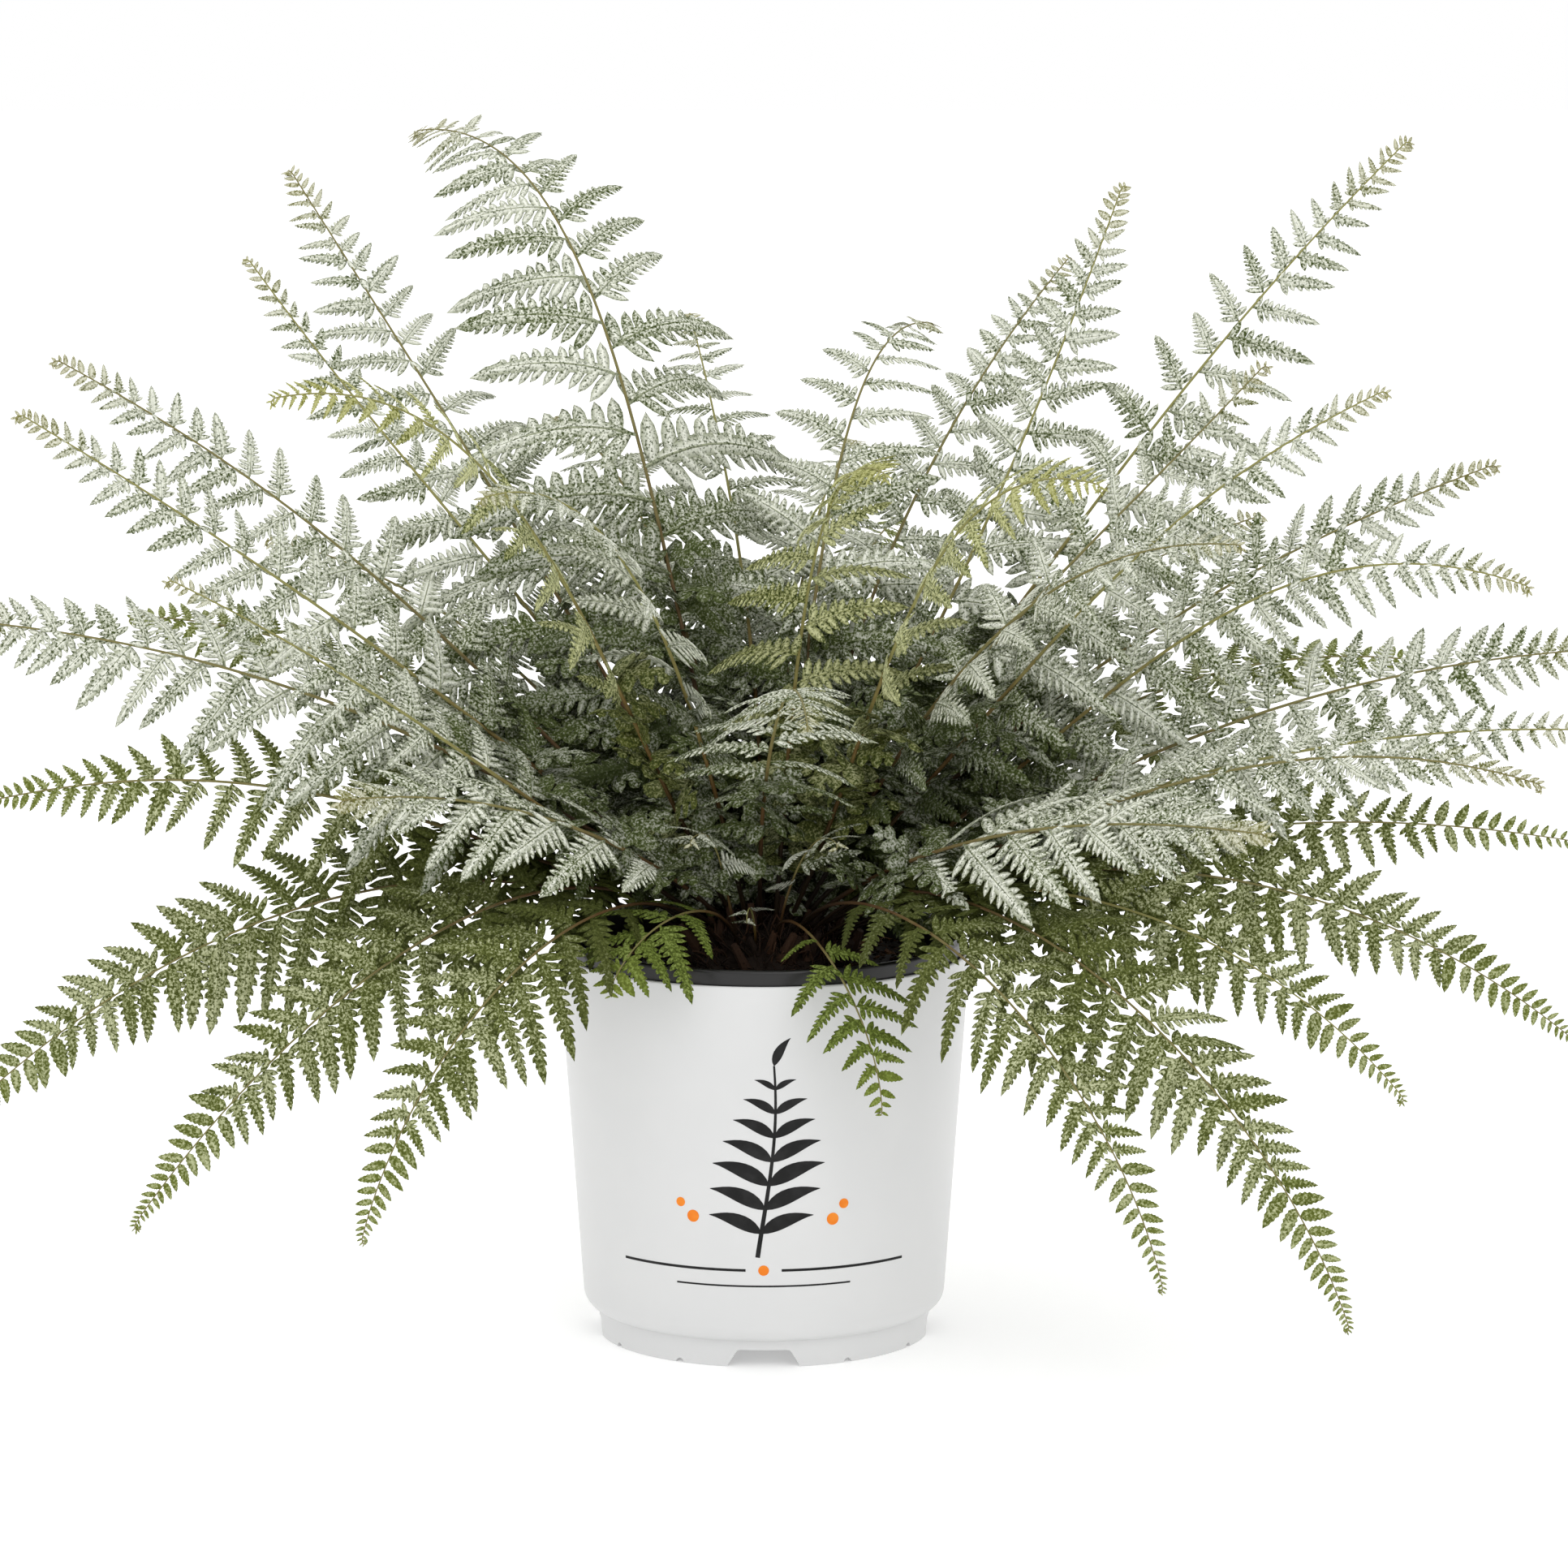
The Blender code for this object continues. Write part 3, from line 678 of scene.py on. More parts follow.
# damp peat is nearly black, bark is orange-brown; each crumb keeps the tone it was given
dark_mix, place = finish_of("dark_mix", 0.9, 0.25)
specks = noise_at(place, 420.0, 4.0)
PEAT_TO_BARK = [
    (0.0, (0.006, 0.0045, 0.0035)), (0.45, (0.022, 0.013, 0.008)),
    (0.75, (0.085, 0.038, 0.016)), (1.0, (0.26, 0.12, 0.045)),
]
tone = attribute(place, "tone") * 0.8 + specks * 0.30 - 0.05
peat = place.node("ShaderNodeValToRGB", tone, out="Color", stops=PEAT_TO_BARK)
paint(dark_mix, peat, bump=(specks, 0.5, 0.0005))

potting_mix = new_piece("potting_mix_surface", block, dark_mix)
potting_mix = grow(
    potting_mix, litter_tree,
    {"Crumbs": 110000.0, "Chips": 22000.0, "Threads": 6000.0, "Mix Material": dark_mix, "Seed": 3},
)
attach(potting_mix, "root")
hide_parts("potting_mix")


# ------------------------------------------------------------------ crown
# The short upright rhizome that all fronds grow from. It is a woody dome covered with papery
# brown scales and the dry bases of old fronds.
crown_low, crown_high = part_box("crown")
crown_height = crown_high.z - crown_low.z
crown_radius = crown_high.x
DOME_WIDTH = 0.97
DOME_HEIGHT = 0.93
dome = bmesh.new()
bmesh.ops.create_icosphere(dome, subdivisions=5, radius=1.0)
for point in dome.verts:
    lump = 1 + 0.10 * noise.noise(point.co * 3.1) + 0.05 * noise.noise(point.co * 9.0)
    x, y = (part * crown_radius * DOME_WIDTH for part in point.co.xy)
    z = max(point.co.z, -0.04) * crown_height * DOME_HEIGHT
    point.co = Vector((x, y, z)) * lump
    point.co.z += crown_low.z
bmesh.ops.recalc_face_normals(dome, faces=dome.faces)


def aimed(first, second, axes="XZ"):
    """A turn that points one axis along the first direction and a second near the other."""
    settings = {"primary_axis": axes[0], "secondary_axis": axes[1]}
    ends = {"Primary Axis": first, "Secondary Axis": second}
    return first.node("FunctionNodeAxesToRotation", **settings, **ends)


husk_tree, husk = new_tree("husk", Geometry="Geometry", Float="Scales, Stubs", Material="Material")
ground = husk["Geometry"]


def husk_layer(density, seed, shape, low, high, lean):
    """Copies of a shape standing on the crown, leaning upwards."""
    spots = ground.then("DistributePointsOnFaces", Density=density, Seed=seed)
    away = spots.beside("Normal").vector("ADD", (0.0, 0.0, lean))
    wander = random_value(spots, (-0.7, -0.7, -0.3), (0.7, 0.7, 0.5), seed + 1)
    turn = aimed(away.vector("ADD", wander), wander, "ZX")
    stood = copies(spots, shape, turn, random_value(spots, low, high, seed + 2))
    return store(stood, "tone", random_value(stood, 0.15, 1.0, seed + 3), "INSTANCE")


wire = Wire(husk_tree)
scale_shape = rod(bent_line(wire, 4, (0.0, 0.0, -0.1), (0.05, 0.0, 0.5), (0.35, 0.1, 1.0)), 3, 0.055)
taper = {"Radius Top": 0.12, "Radius Bottom": 0.2, "Depth": 1.0}
stub_shape = wire.node("GeometryNodeMeshCone", Vertices=7, Side_Segments=2, **taper)
husks = join(
    store(ground, "tone", 0.2),
    husk_layer(husk["Scales"], 40, scale_shape, 0.003, 0.009, 0.7),
    husk_layer(husk["Stubs"], 50, stub_shape, 0.006, 0.013, 0.9),
)
end_tree(husks, (husk["Material"], True))

brown_rhizome, place = finish_of("brown_rhizome", 0.85, 0.3)
grain = noise_at(place, 300.0, 4.0)
HUSK_TONES = [(0.0, (0.007, 0.004, 0.002)), (0.5, (0.020, 0.010, 0.005)), (1.0, (0.080, 0.036, 0.017))]
tone = attribute(place, "tone") * 0.75 + grain * 0.3 - 0.05
brown = place.node("ShaderNodeValToRGB", tone, out="Color", stops=HUSK_TONES)
paint(brown_rhizome, brown, bump=(grain, 0.5, 0.0006))

crown = new_piece("crown_scales", dome, brown_rhizome)
crown = grow(crown, husk_tree, {"Scales": 150000.0, "Stubs": 9000.0, "Material": brown_rhizome})
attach(crown, "root")
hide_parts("crown")


# ------------------------------------------------------------------ fronds
# Each frond is one leaf: a bare stalk that grows from the crown, then a midrib with leaflets set
# alternately on both sides. Low leaflets are divided again into small oval lobes, the upper ones
# are simple and toothed, and the tip unrolls last. Leaves are thin, silvery and finely mottled.
LEAF_WELD = 0.00005
UP = (0.0, 0.0, 1.0)


def combined(wire, **axes):
    return wire.node("ShaderNodeCombineXYZ", **axes)


def own_place(wire):
    """Where each point is: its X, with Y and Z beside it."""
    return wire.node("ShaderNodeSeparateXYZ", wire.node("GeometryNodeInputPosition"))


def point_on(path, share):
    """A place on a curve, with the curve's Tangent beside it."""
    return path.then("SampleCurve", out="Position", mode="FACTOR", Factor=share)


def leaf_solid(wire, stations, outline, thickness, fold, sag, tooth=None):
    """A closed thin leaf of unit length along +X: a top and an under side that meet at its edge.
    outline gives its half-width from u, 0 at the foot and 1 at the tip. fold and sag lower its sides
    and its tip."""
    steps = {"Vertices X": stations, "Vertices Y": 3}
    grid = wire.node("GeometryNodeMeshGrid", Size_X=1.0, Size_Y=2.0, **steps)
    split = own_place(wire)
    u = split + 0.5
    v = split.beside("Y")
    half = outline(u)
    if tooth:
        half = half * (1 - tooth * (u * (stations - 1)).math("PINGPONG", 1.0))
    ends = split.math("ABSOLUTE").math("LESS_THAN", 0.499)
    swell = ends * (1 - v.math("ABSOLUTE")) * thickness
    bend = (v * v * half * fold + u * u * sag) * -1
    grid = store(grid, "edge", v.math("ABSOLUTE"))
    sides = []
    for sign in (1, -1):
        place = combined(wire, X=u, Y=v * half, Z=bend + swell * sign)
        side = grid.then("SetPosition", Position=place)
        sides.append(side if sign > 0 else side.then("FlipFaces"))
    return join(*sides).then("MergeByDistance", Distance=LEAF_WELD)


def oval(u):
    """Half-width of a lobe: wide where it joins the rib, round at its end."""
    return ((u * math.pi).math("SINE") * 0.40 + 0.60) * (1 - u**4) ** 0.5


def lance(u):
    """Half-width of a simple leaf: fullest near its foot, drawn out to a point."""
    return (u**0.7 * math.pi).math("SINE").math("ABSOLUTE") ** 0.7


def ranked_spots(wire, count, path, start, crowding, finish=1.0):
    """Points set alternately along a path. Gives the points, the rank, the share of each along the
    path, its hand, 1 or -1, and the path's direction there."""
    spots = wire.node("GeometryNodePoints", Count=count)
    index = wire.node("GeometryNodeInputIndex")
    rank = index / count
    share = start + (finish - start) * (1 - (1 - rank) ** crowding)
    hand = 1 - 2 * index.math("MODULO", 2.0)
    on_path = point_on(path, share)
    spots = spots.then("SetPosition", Position=on_path)
    return spots, rank, share, hand, on_path.beside("Tangent")


def leaning(ahead, side, hand, lean):
    """The direction that stands out to one hand of a path and leans ahead by an angle."""
    return side.scaled(hand * lean.math("COSINE")).vector("ADD", ahead.scaled(lean.math("SINE")))


# one leaflet: a rib of unit length with lobes on both sides and a pointed end
leaflet_tree, leaflet = new_tree(
    "leaflet", Int="Pairs, Seed", Float="Lobe Length, Lobe Width, Web, Hook, Sag"
)
wire = Wire(leaflet_tree)
rib_end = combined(wire, X=0.97, Y=leaflet["Hook"], Z=leaflet["Sag"] * -1)
rib = bent_line(wire, 8, (0.0, 0.0, 0.0), (0.5, 0.0, 0.03), rib_end)
spots, rank, share, hand, ahead = ranked_spots(wire, leaflet["Pairs"] * 2, rib, 0.05, 1.2, 0.93)
side = ahead.vector("CROSS_PRODUCT", (0.0, 0.0, -1.0)).vector("NORMALIZE")
lean = random_value(wire, 0.36, 0.54, leaflet["Seed"]) + rank * 0.45
turn = aimed(leaning(ahead, side, hand, lean), UP)
first = 1 - rank.between(0.0, 0.16)
long = leaflet["Lobe Length"] * ((1 - rank) ** 0.62 * 0.86 + 0.14 + first * 0.30)
long = long * random_value(wire, 0.90, 1.10, leaflet["Seed"] + 1)
wide = leaflet["Lobe Width"] * (0.55 + 0.45 * (1 - rank) ** 0.7 + first * 0.25)
lobe = leaf_solid(wire, 5, oval, 0.025, 0.07, 0.14)
lobes = copies(spots, lobe, turn, combined(wire, X=long, Y=wide, Z=leaflet["Lobe Length"]))
tip_at = point_on(rib, 0.74)
tip_blade = leaf_solid(wire, 7, lance, 0.02, 0.03, 0.04, 0.25)
tip_blade = tip_blade.then("Transform", Scale=(0.29, 0.042, 0.2))
tip_spot = wire.node("GeometryNodePoints", Count=1, Position=tip_at)
tip = copies(tip_spot, tip_blade, aimed(tip_at.beside("Tangent"), UP), (1.0, 1.0, 1.0))
web = leaf_solid(wire, 9, lance, 0.006, 0.006, 0.0)
web = web.then("Transform", Scale=combined(wire, X=0.99, Y=leaflet["Web"], Z=1.0))
reach = own_place(wire)
web_rise = reach * reach * leaflet["Sag"] * -1 + reach * (1 - reach) * 0.06
web_bend = combined(wire, Y=leaflet["Hook"] * reach * reach, Z=web_rise)
web = web.then("SetPosition", Offset=web_bend)
end_tree(join(lobes, tip, web, store(rod(rib, 4, 0.010), "edge", 1.0)))

# a whole frond along its path
frond_tree, frond = new_tree(
    "frond",
    Geometry="Geometry",
    Int="Pairs, Low, Seed",
    Float="Crowding, Bare, Width, Roll, Turn, Slim, Broad Tip, Taper, Divided, Lobed, Sag, Sweep, "
    "Stem, Low Size, Low Height, Open",
    Vector="Level",
    Material="Leaf Material, Stem Material",
)
wire = Wire(frond_tree)
path = frond["Geometry"]
seed = frond["Seed"]
pairs = frond["Pairs"] * 2
spots, rank, share, hand, ahead = ranked_spots(wire, pairs, path, frond["Bare"], frond["Crowding"])
along_ahead = frond["Level"].vector("DOT_PRODUCT", ahead, out="Value")
side = frond["Level"].vector("ADD", ahead.scaled(along_ahead * -1)).vector("NORMALIZE")
roll = frond["Roll"] + frond["Turn"] * share
side, face = (
    each.node("ShaderNodeVectorRotate", each, rotation_type="AXIS_ANGLE", Axis=ahead, Angle=roll)
    for each in (side, side.vector("CROSS_PRODUCT", ahead))
)
lean = random_value(wire, 0.18, 0.44, seed) + rank * 0.30 + frond["Sweep"]
lifted = face.scaled(random_value(wire, -0.25, 0.15, seed + 1))
direction = leaning(ahead, side, hand, lean).vector("ADD", lifted)
twist = random_value(wire, (-0.32, -0.32, -0.32), (0.32, 0.32, 0.32), seed + 2)
turn = aimed(direction, face.vector("ADD", twist))
up_blade = (share - frond["Bare"]) / (1 - frond["Bare"])
rise = (up_blade / 0.28).math("MINIMUM", 1.0)
fall = ((1 - up_blade) / 0.72).math("MINIMUM", 1.0) ** frond["Taper"]
profile = (0.62 + 0.38 * rise) * (fall * 0.97 + 0.03)
long = frond["Width"] * 0.5 * profile * random_value(wire, 0.90, 1.08, seed + 3)
wide = long * frond["Slim"] * (1 + frond["Broad Tip"] * rank * rank)
size = combined(wire, X=long, Y=wide, Z=long)


def leaflet_of(pairs, length, width, web_width, kind_seed, hook):
    """The leaflet tree's leaf, with these many pairs of lobes of this length and width."""
    lobes = {"Pairs": pairs, "Lobe Length": length, "Lobe Width": width}
    rest = {"Web": web_width, "Hook": hook, "Sag": 0.12, "Seed": kind_seed}
    return wire.node("GeometryNodeGroup", node_tree=leaflet_tree, **lobes, **rest)


def leaflet_kinds():
    """Divided, lobed and simple leaflets for one hand and then for the other."""
    made = []
    for hook in (0.06, -0.06):
        made.append(leaflet_of(11, 0.165, 0.036, 0.045, 60, hook))
        made.append(leaflet_of(8, 0.185, 0.054, 0.080, 70, hook))
        simple = leaf_solid(wire, 15, lance, 0.012, 0.030, 0.10, 0.20)
        made.append(simple.then("Transform", Scale=(1.0, 0.155, 1.0)))
    return join(*(each.then("GeometryToInstance") for each in reversed(made)))


kind = rank.math("GREATER_THAN", frond["Divided"]) + rank.math("GREATER_THAN", frond["Lobed"])
kind = kind + (1 - hand) * 1.5
leaflets = copies(spots, leaflet_kinds(), turn, size, Pick_Instance=True, Instance_Index=kind)
# Fronds that face the light start their along value later, so they get less painted shade near the crown
# and their tip colour starts sooner.
leaflets = store(leaflets, "along", frond["Open"] + share * (1 - frond["Open"]), "INSTANCE")

# small low leaflets that hide the stalks, clear of the pots
low_spots = ranked_spots(wire, frond["Low"], path, 0.05, 1.0, 0.40)[0]
low_way = random_value(wire, (-1.0, -1.0, -0.25), (1.0, 1.0, 0.75), seed + 5)
low_face = random_value(wire, (-0.5, -0.9, 0.5), (0.5, 0.1, 1.0), seed + 6)
low_size = frond["Low Size"] * random_value(wire, 0.6, 1.0, seed + 7)
clear_of_pots = own_place(wire).beside("Z").math("GREATER_THAN", frond["Low Height"])
low_shape = leaflet_of(3, 0.42, 0.15, 0.08, 80, 0.05)
low_leaflets = copies(low_spots, low_shape, aimed(low_way, low_face), low_size, Selection=clear_of_pots)
leaflets = join(leaflets, store(low_leaflets, "along", 0.30, "INSTANCE"))
leaflets = store(leaflets, "tone", random_value(leaflets, 0.0, 1.0, seed + 4), "INSTANCE")
leaflets = store(leaflets, "stem", 0.0, "INSTANCE")

# leaflets sag by the square of their distance from the midrib; the stalk thins towards the tip
off_rib = path.then("CurveToMesh").then("Proximity", out="Distance", target_element="EDGES")
sag = combined(wire, Z=off_rib * off_rib * frond["Sag"] * -1)
leaflets = leaflets.then("RealizeInstances").then("SetPosition", Offset=sag)
share = wire.node("GeometryNodeSplineParameter", out="Factor")
stalk = rod(store(path, "along", share), 7, 1.0, Scale=frond["Stem"] * (1 - 0.75 * share))
whole = join(leaflets, store(store(stalk, "stem", 1.0), "edge", 1.0))
on_stem = wire.node("GeometryNodeInputNamedAttribute", out="Attribute", data_type="FLOAT", Name="stem")
is_stem = on_stem.math("GREATER_THAN", 0.5)
whole = whole.then("SetShadeSmooth", Shade_Smooth=is_stem)
end_tree(whole, (frond["Leaf Material"], True), (frond["Stem Material"], is_stem))


def darker(colour, share):
    return tuple(share * value for value in colour)


def leaf_finish(name, pale, green, deep, cover, tip, tip_from, inner_to):
    """Mottled leaf: pale patches over green, darker along ribs and edges, painted shade near the crown,
    and a coloured tip.
    """
    made, place = finish_of(name, 0.66, 0.15)
    along = attribute(place, "along")
    fleck = noise_at(place, 1000.0, 2.0, 0.6)
    # inner is painted shade: towards the crown it thins the pale patches and darkens the leaf to half
    # its deep colour
    inner = 1 - along.between(0.13, inner_to)
    uneven = (noise_at(place, 45.0, 2.0) - 0.5) * 0.24 + (attribute(place, "tone") - 0.5) * 0.10
    amount = cover + uneven - inner * 0.20
    mottle = (fleck - (1 - amount)).between(-0.12, 0.12)
    body = mixed(fleck.between(0.35, 0.62), deep, green)
    colour = mixed(mottle * (1 - 0.74 * attribute(place, "edge")), body, pale)
    colour = mixed(inner * 0.88, colour, darker(deep, 0.5))
    colour = mixed(along.between(tip_from, 1.0) * 0.45, colour, tip)
    paint(made, colour, bump=(fleck, 0.35, 0.0003))
    return made


def stem_finish(name, low, high):
    """Streaked stalk: reddish brown and pale towards the tip, with painted shade that makes it nearly
    black at its foot.
    """
    made, place = finish_of(name, 0.55, 0.25)
    along = attribute(place, "along")
    streak = noise_at(place, 190.0, 3.0)
    colour = mixed((along + (streak - 0.5) * 0.30).between(0.22, 0.62), low, high)
    # painted shade: the stalk darkens to nearly black towards its foot, low among the other fronds
    colour = mixed(along.between(0.10, 0.36), darker(low, 0.12), colour)
    paint(made, colour, bump=(streak, 0.3, 0.0003))
    return made


# pale, green and deep colours, share of pale patches, tip colour, where it starts, end of the painted
# shade near the crown
LEAF_LOOKS = {
    "silver": (
        (0.87, 0.88, 0.79), (0.145, 0.180, 0.048), (0.041, 0.060, 0.009), 0.55,
        (0.30, 0.26, 0.06), 0.86, 0.50,
    ),
    "olive": (
        (0.68, 0.69, 0.40), (0.18, 0.20, 0.030), (0.045, 0.062, 0.010), 0.55,
        (0.30, 0.29, 0.028), 0.62, 0.48,
    ),
    "green": (
        (0.56, 0.58, 0.37), (0.148, 0.174, 0.040), (0.048, 0.06, 0.007), 0.46,
        (0.19, 0.23, 0.03), 0.72, 0.62,
    ),
    "fresh": (
        (0.27, 0.33, 0.10), (0.125, 0.17, 0.025), (0.048, 0.065, 0.007), 0.40,
        (0.19, 0.23, 0.03), 0.72, 0.34,
    ),
}
STEM_LOOKS = {
    "red": ((0.085, 0.040, 0.011), (0.19, 0.17, 0.06)),
    "yellow": ((0.125, 0.066, 0.014), (0.25, 0.24, 0.08)),
}
LEAVES = {name: leaf_finish(name + "_leaf", *look) for name, look in LEAF_LOOKS.items()}
STEMS = {name: stem_finish(name + "_stem", *look) for name, look in STEM_LOOKS.items()}

# whorl: radius of its circle as a share of the crown's, bare share of the stalk, then its fronds as
# (first heading, last heading, reach past the lip, height over the lip, climb, slope, width, roll,
# leaf, stem), with angles in degrees
WHORLS = {
    "upright": (0.22, 0.14, [
        (-6, 14, 0.1225, 0.226, 58, 45, 0.117, 20, "silver", "red"),
        (25, 25, 0.2055, 0.310, 46, 40, 0.137, 15, "silver", "yellow"),
        (57, 65, 0.0805, 0.234, 75, -10, 0.135, 0, "silver", "red"),
        (90, 99, 0.1175, 0.232, 72, 25, 0.130, 0, "silver", "yellow"),
        (136, 127, 0.1575, 0.310, 68, -8, 0.192, 0, "silver", "red"),
        (170, 140, 0.1725, 0.294, 60, 48, 0.140, 0, "silver", "red"),
    ]),
    "leaning": (0.42, 0.14, [
        (-50, -45, 0.0955, 0.203, 56, -6, 0.117, 0, "olive", "yellow"),
        (-28, -25, 0.1175, 0.174, 58, 0, 0.110, 0, "silver", "red"),
        (-8, -15, 0.1635, 0.230, 46, 27, 0.110, 25, "silver", "yellow"),
        (12, 5, 0.2075, 0.190, 42, 20, 0.117, 30, "silver", "red"),
        (38, 40, 0.1075, 0.291, 56, 64, 0.130, 0, "silver", "yellow"),
        (62, 55, 0.1375, 0.257, 64, 30, 0.117, 0, "silver", "red"),
        (86, 79, 0.1175, 0.179, 64, 0, 0.130, 0, "silver", "yellow"),
        (111, 114, 0.1325, 0.189, 62, 5, 0.130, 0, "silver", "red"),
        (152, 155, 0.1475, 0.264, 58, 50, 0.104, 0, "silver", "yellow"),
        (171, 170, 0.2035, 0.229, 44, 27, 0.117, -25, "silver", "red"),
        (188, 185, 0.2075, 0.216, 40, 32, 0.117, -30, "silver", "yellow"),
        (205, 188, 0.2495, 0.140, 36, 5, 0.143, -25, "silver", "red"),
        (226, 220, 0.1545, 0.239, 52, -4, 0.104, 0, "olive", "yellow"),
        (246, 232, 0.0875, 0.199, 62, -5, 0.110, 0, "silver", "yellow"),
        (266, 275, 0.1075, 0.122, 58, -20, 0.130, 0, "silver", "red"),
        (287, 290, 0.0505, 0.207, 76, -5, 0.124, 0, "olive", "yellow"),
    ]),
    "spreading": (0.61, 0.12, [
        (-55, -40, 0.1625, 0.074, 35, 0, 0.125, 15, "silver", "red"),
        (-42, -20, 0.2325, 0.085, 23, -14, 0.090, 25, "silver", "red"),
        (-29, -13, 0.2495, 0.100, 28, 0, 0.095, 25, "silver", "yellow"),
        (-15, -5, 0.2505, 0.125, 31, 4, 0.125, 30, "silver", "red"),
        (0, -9, 0.2175, 0.153, 33, -18, 0.105, 30, "silver", "yellow"),
        (17, 14, 0.1875, 0.106, 38, -8, 0.110, 0, "green", "red"),
        (35, 35, 0.1675, 0.154, 50, 10, 0.110, 0, "silver", "red"),
        (75, 75, 0.1375, 0.144, 55, 0, 0.110, 0, "green", "red"),
        (110, 110, 0.1455, 0.114, 50, -5, 0.110, 0, "green", "yellow"),
        (145, 145, 0.1675, 0.144, 48, 5, 0.110, 0, "silver", "red"),
        (168, 166, 0.1795, 0.124, 40, 0, 0.110, 0, "green", "red"),
        (188, 193, 0.2225, 0.072, 22, -10, 0.105, -35, "green", "red"),
        (216, 200, 0.1585, 0.159, 33, 28, 0.090, -20, "silver", "yellow"),
        (238, 215, 0.1125, 0.079, 38, 0, 0.125, -15, "silver", "red"),
    ]),
    "drooping": (0.80, 0.12, [
        (-17, -12, 0.2475, 0.054, 24, -8, 0.068, 40, "green", "red"),
        (-30, -15, 0.2445, -0.021, 30, -38, 0.086, 40, "green", "red"),
        (-44, -30, 0.1985, -0.030, 35, -45, 0.076, 35, "green", "yellow"),
        (-57, -43, 0.2175, -0.104, 45, -65, 0.085, 25, "green", "red"),
        (-70, -55, 0.1775, -0.087, 45, -68, 0.072, 20, "green", "red"),
        (-83, -69, 0.0450, -0.040, 60, -82, 0.062, 0, "fresh", "red"),
        (57, 57, 0.1715, -0.016, 42, -50, 0.075, 0, "green", "yellow"),
        (93, 93, 0.1335, 0.034, 40, -30, 0.072, 0, "green", "red"),
        (128, 128, 0.1715, -0.016, 42, -50, 0.075, 0, "green", "red"),
        (196, 190, 0.2495, -0.068, 30, -45, 0.094, -45, "green", "red"),
        (216, 210, 0.1945, -0.080, 45, -50, 0.090, -35, "green", "red"),
        (233, 230, 0.1525, -0.076, 45, -68, 0.082, -25, "green", "red"),
        (250, 240, 0.0350, 0.004, 58, -48, 0.078, 0, "fresh", "red"),
    ]),
    "young": (0.72, 0.30, [
        (246, 247, -0.0125, 0.056, 64, -10, 0.060, 0, "silver", "red"),
        (263, 262, -0.0365, 0.022, 68, -35, 0.030, 0, "silver", "yellow"),
        (282, 294, -0.0145, 0.054, 62, -10, 0.060, 0, "silver", "red"),
    ]),
}
STEM_RADIUS = 0.00125
STALK_GAP = 0.0003
STALK_SUNK = 0.008
PATH_PULL = 0.38
PATH_POINTS = 60
TIP_STEPS = 9
TIP_CURL = math.radians(48)
TIP_STRIDE = 0.0009
TURN_TO_LIGHT = math.radians(50)
OLIVE_TURN = 1.6
OLIVE_LOBED = 0.78
FRONT_SHARE = 0.6
FRONT_BARE = 0.12
FRESH_BARE = 0.27
FRONT_LOW = (19, 0.034)
BACK_LOW = (26, 0.006)
FULLNESS = {"fresh": 1.5, "green": 1.4, "silver": 1.3, "olive": 1.0}
SPACING = {
    "upright": 0.0116, "leaning": 0.0106, "spreading": 0.0098, "drooping": 0.0069, "young": 0.008,
}
NARROWED = {"upright": 0.95, "leaning": 0.86, "spreading": 0.88, "drooping": 1.0, "young": 1.0}

# inputs of the frond tree that most fronds share, then those that differ
USUAL = {
    "Crowding": 2.8, "Broad Tip": 0.2, "Taper": 0.85, "Divided": 0.35, "Lobed": 0.60, "Sag": 6.0,
    "Sweep": 0.0, "Open": 0.0, "Stem": STEM_RADIUS * 0.86, "Low Size": 0.029,
}
HABITS = {
    "upright": {"Crowding": 3.3, "Sag": 8.0, "Sweep": 0.12, "Slim": 1.08},
    "leaning": {"Sag": 8.0, "Sweep": 0.12},
    "spreading": {},
    "drooping": {
        "Broad Tip": 0.0, "Taper": 1.0, "Divided": 0.20, "Lobed": 0.40, "Stem": STEM_RADIUS * 0.62,
    },
    "young": {"Stem": 0.0007},
}
# front spreading fronds sweep their leaflets forward, and as they face the light they get less painted
# shade near the crown
FRONT_SPREADING = {"Sweep": 0.38, "Open": 0.30}
ARCHED = "leaning_leaf_15"
ARCHED_SLIM = 0.62
ARCHED_CROWDING = 1.7
ARCHED_WIDTH = 0.68


def frond_path(ring_radius, first, last, reach, height, climb, slope):
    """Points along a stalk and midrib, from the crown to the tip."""
    rise = crown_height * math.sqrt(1 - (ring_radius / crown_radius) ** 2)
    normal = Vector((ring_radius / crown_radius**2, rise / crown_height**2)).normalized()
    start = Vector((ring_radius, crown_low.z + rise)) + normal * (STEM_RADIUS + STALK_GAP)
    out_first = Vector((math.cos(first), math.sin(first), 0))
    out_last = Vector((math.cos(last), math.sin(last), 0))
    up = Vector(UP)
    p0 = out_first * start[0] + up * start[1]
    p3 = out_last * reach + up * height
    chord = (p3 - p0).length
    p1 = p0 + (out_first * math.cos(climb) + up * math.sin(climb)) * chord * PATH_PULL
    p2 = p3 - (out_last * math.cos(slope) + up * math.sin(slope)) * chord * PATH_PULL
    t = np.linspace(0, 1, PATH_POINTS)[:, None]
    a, b, c, d = (np.array(p) for p in (p0, p1, p2, p3))
    points = (1 - t) ** 3 * a + 3 * (1 - t) ** 2 * t * b + 3 * (1 - t) * t**2 * c + t**3 * d
    step = points[1] - points[0]
    root = points[0] - step / np.linalg.norm(step) * STALK_SUNK
    ahead = Vector(points[-1] - points[-2]).normalized()
    across = Vector(points[-1] - points[0]).cross(up).normalized()
    hooked = []
    spot = Vector(points[-1])
    for step in range(TIP_STEPS):
        ahead = Matrix.Rotation(-TIP_CURL * (step + 1) / TIP_STEPS, 3, across) @ ahead
        spot = spot + ahead * TIP_STRIDE * (1 - 0.06 * step)
        hooked.append(tuple(spot))
    return np.vstack([root, points, hooked])


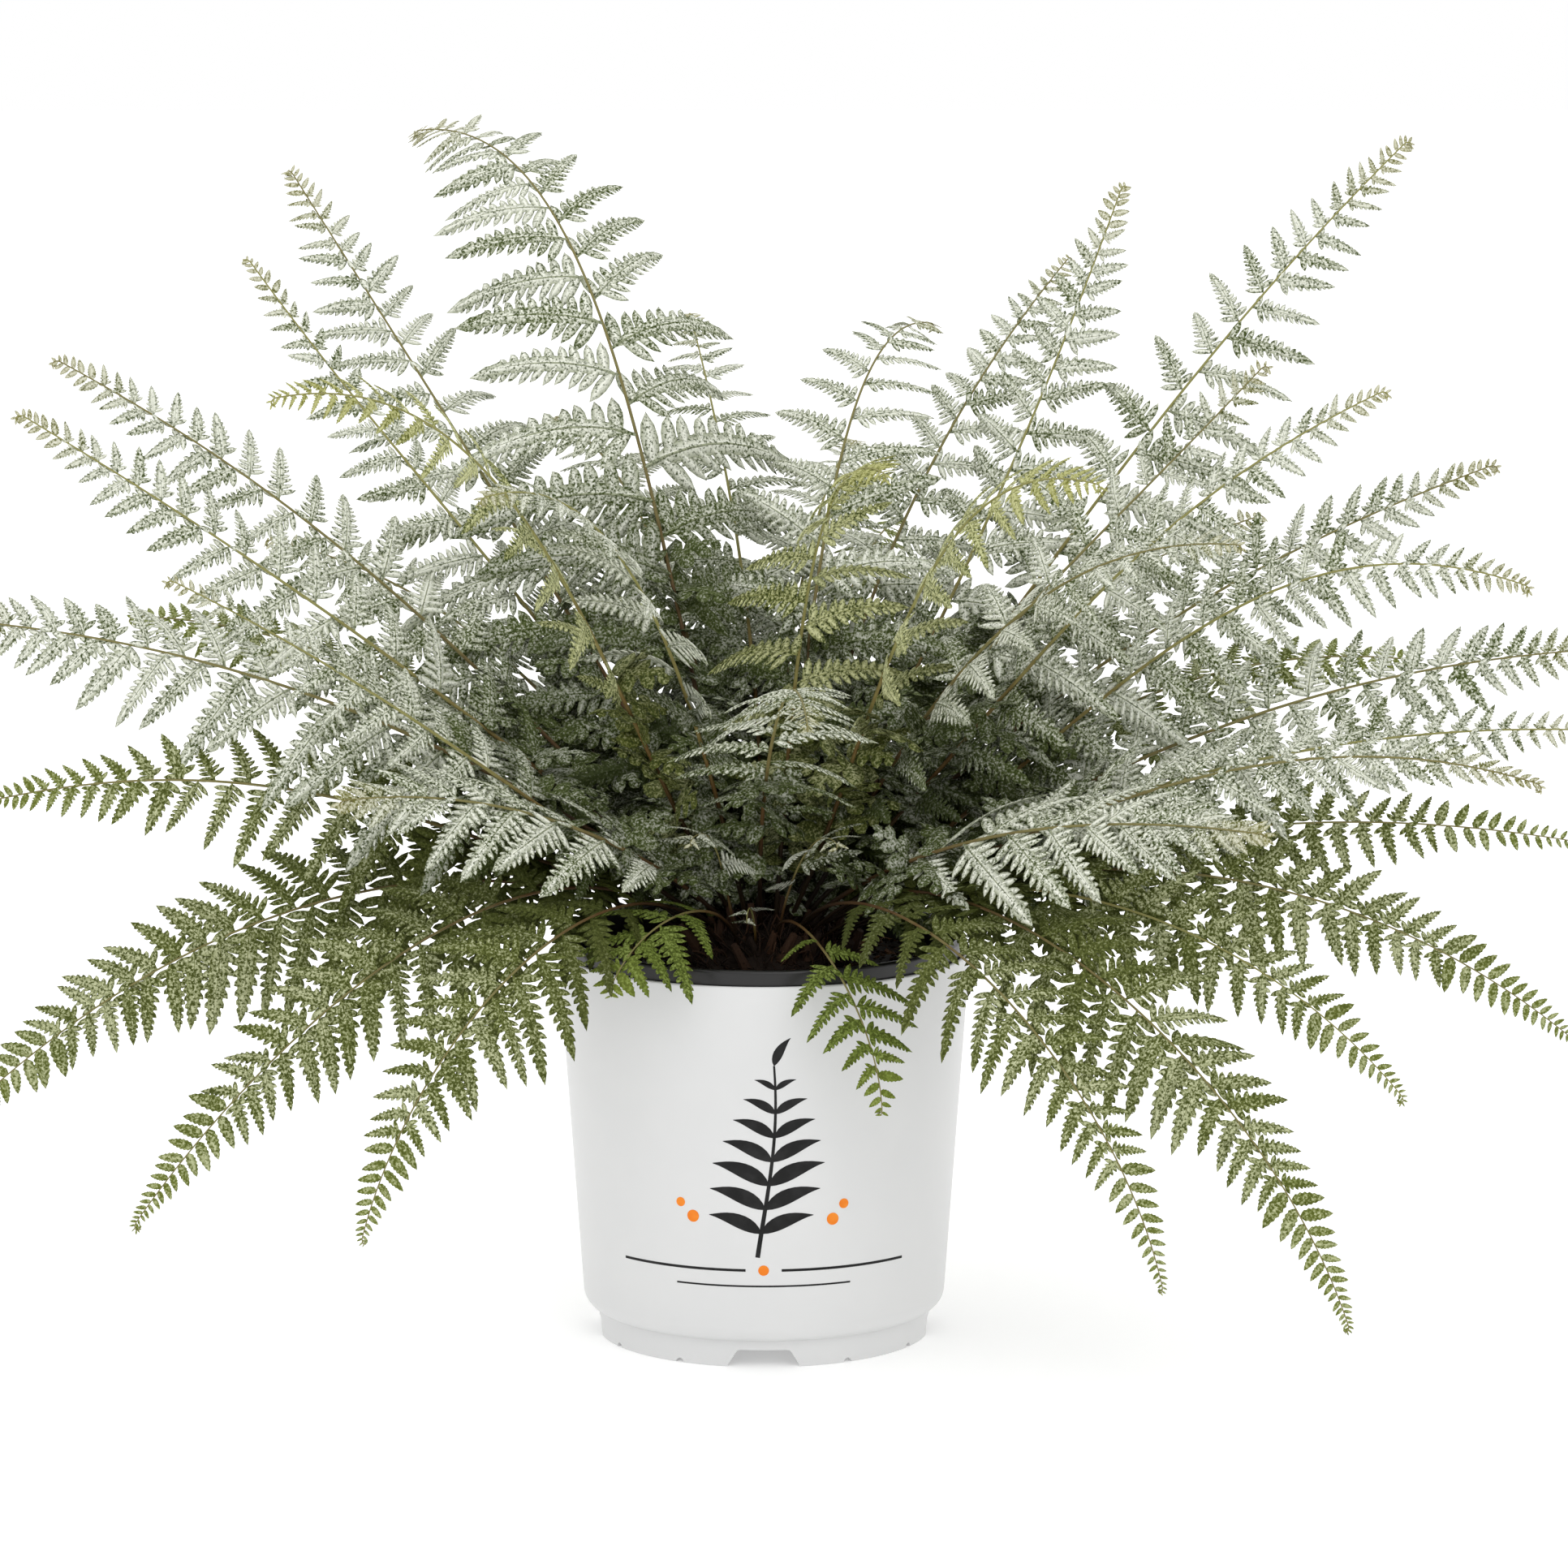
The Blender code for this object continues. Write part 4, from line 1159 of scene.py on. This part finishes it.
def frond_piece(name, points, bare, width, roll, leaf, stem, seed, whorl):
    """The whole leaf of one frond, built on its path."""
    curve = bpy.data.curves.new(name, "CURVE")
    curve.dimensions = "3D"
    spline = curve.splines.new("POLY")
    spline.points.add(len(points) - 1)
    spline.points.foreach_set("co", np.column_stack([points, np.ones(len(points))]).ravel())
    length = float(np.linalg.norm(np.diff(points, axis=0), axis=1).sum())
    heading = math.atan2(points[-1][1], points[-1][0])
    x, y = points[2][:2]
    front = y < -FRONT_SHARE * math.hypot(x, y)
    if front:
        bare += FRESH_BARE if leaf == "fresh" else FRONT_BARE
    low_count, low_height = FRONT_LOW if y < 0 else BACK_LOW
    crowded = ARCHED_CROWDING if name == ARCHED else 1.0
    values = {
        "Pairs": round(length * (1 - bare) / SPACING[whorl] * crowded),
        "Bare": bare,
        "Width": width * (ARCHED_WIDTH if name == ARCHED else NARROWED[whorl]),
        "Level": Vector(points[-1] - points[1]).cross(Vector(UP)).normalized(),
        "Roll": roll,
        "Turn": TURN_TO_LIGHT * math.cos(heading) * (OLIVE_TURN if leaf == "olive" else 1.0),
        "Slim": FULLNESS[leaf],
        "Low": 0 if whorl == "young" else low_count,
        "Low Height": POT_TOP + low_height,
        "Seed": seed,
        "Leaf Material": LEAVES[leaf],
        "Stem Material": STEMS[stem],
    }
    values |= USUAL | HABITS[whorl]
    if leaf == "olive":
        values["Lobed"] = OLIVE_LOBED
    if front and whorl == "spreading":
        values |= FRONT_SPREADING
    if name == ARCHED:
        values["Slim"] = ARCHED_SLIM
    return grow(added(name, curve), frond_tree, values)


piece_seed = 100
for whorl, (ring_share, bare, plans) in WHORLS.items():
    for number, (*shape, width, roll, leaf, stem) in enumerate(plans, 1):
        first, last, past, over, climb, slope = shape
        first, last, climb, slope, roll = map(math.radians, (first, last, climb, slope, roll))
        node = f"{whorl}_frond_{number}"
        ring_radius = ring_share * crown_radius
        points = frond_path(ring_radius, first, last, LIP_RADIUS + past, POT_TOP + over, climb, slope)
        piece_seed += 10
        piece = frond_piece(
            f"{whorl}_leaf_{number}", points, bare, width, roll, leaf, stem, piece_seed, whorl
        )
        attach(piece, "root")
        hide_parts(node)
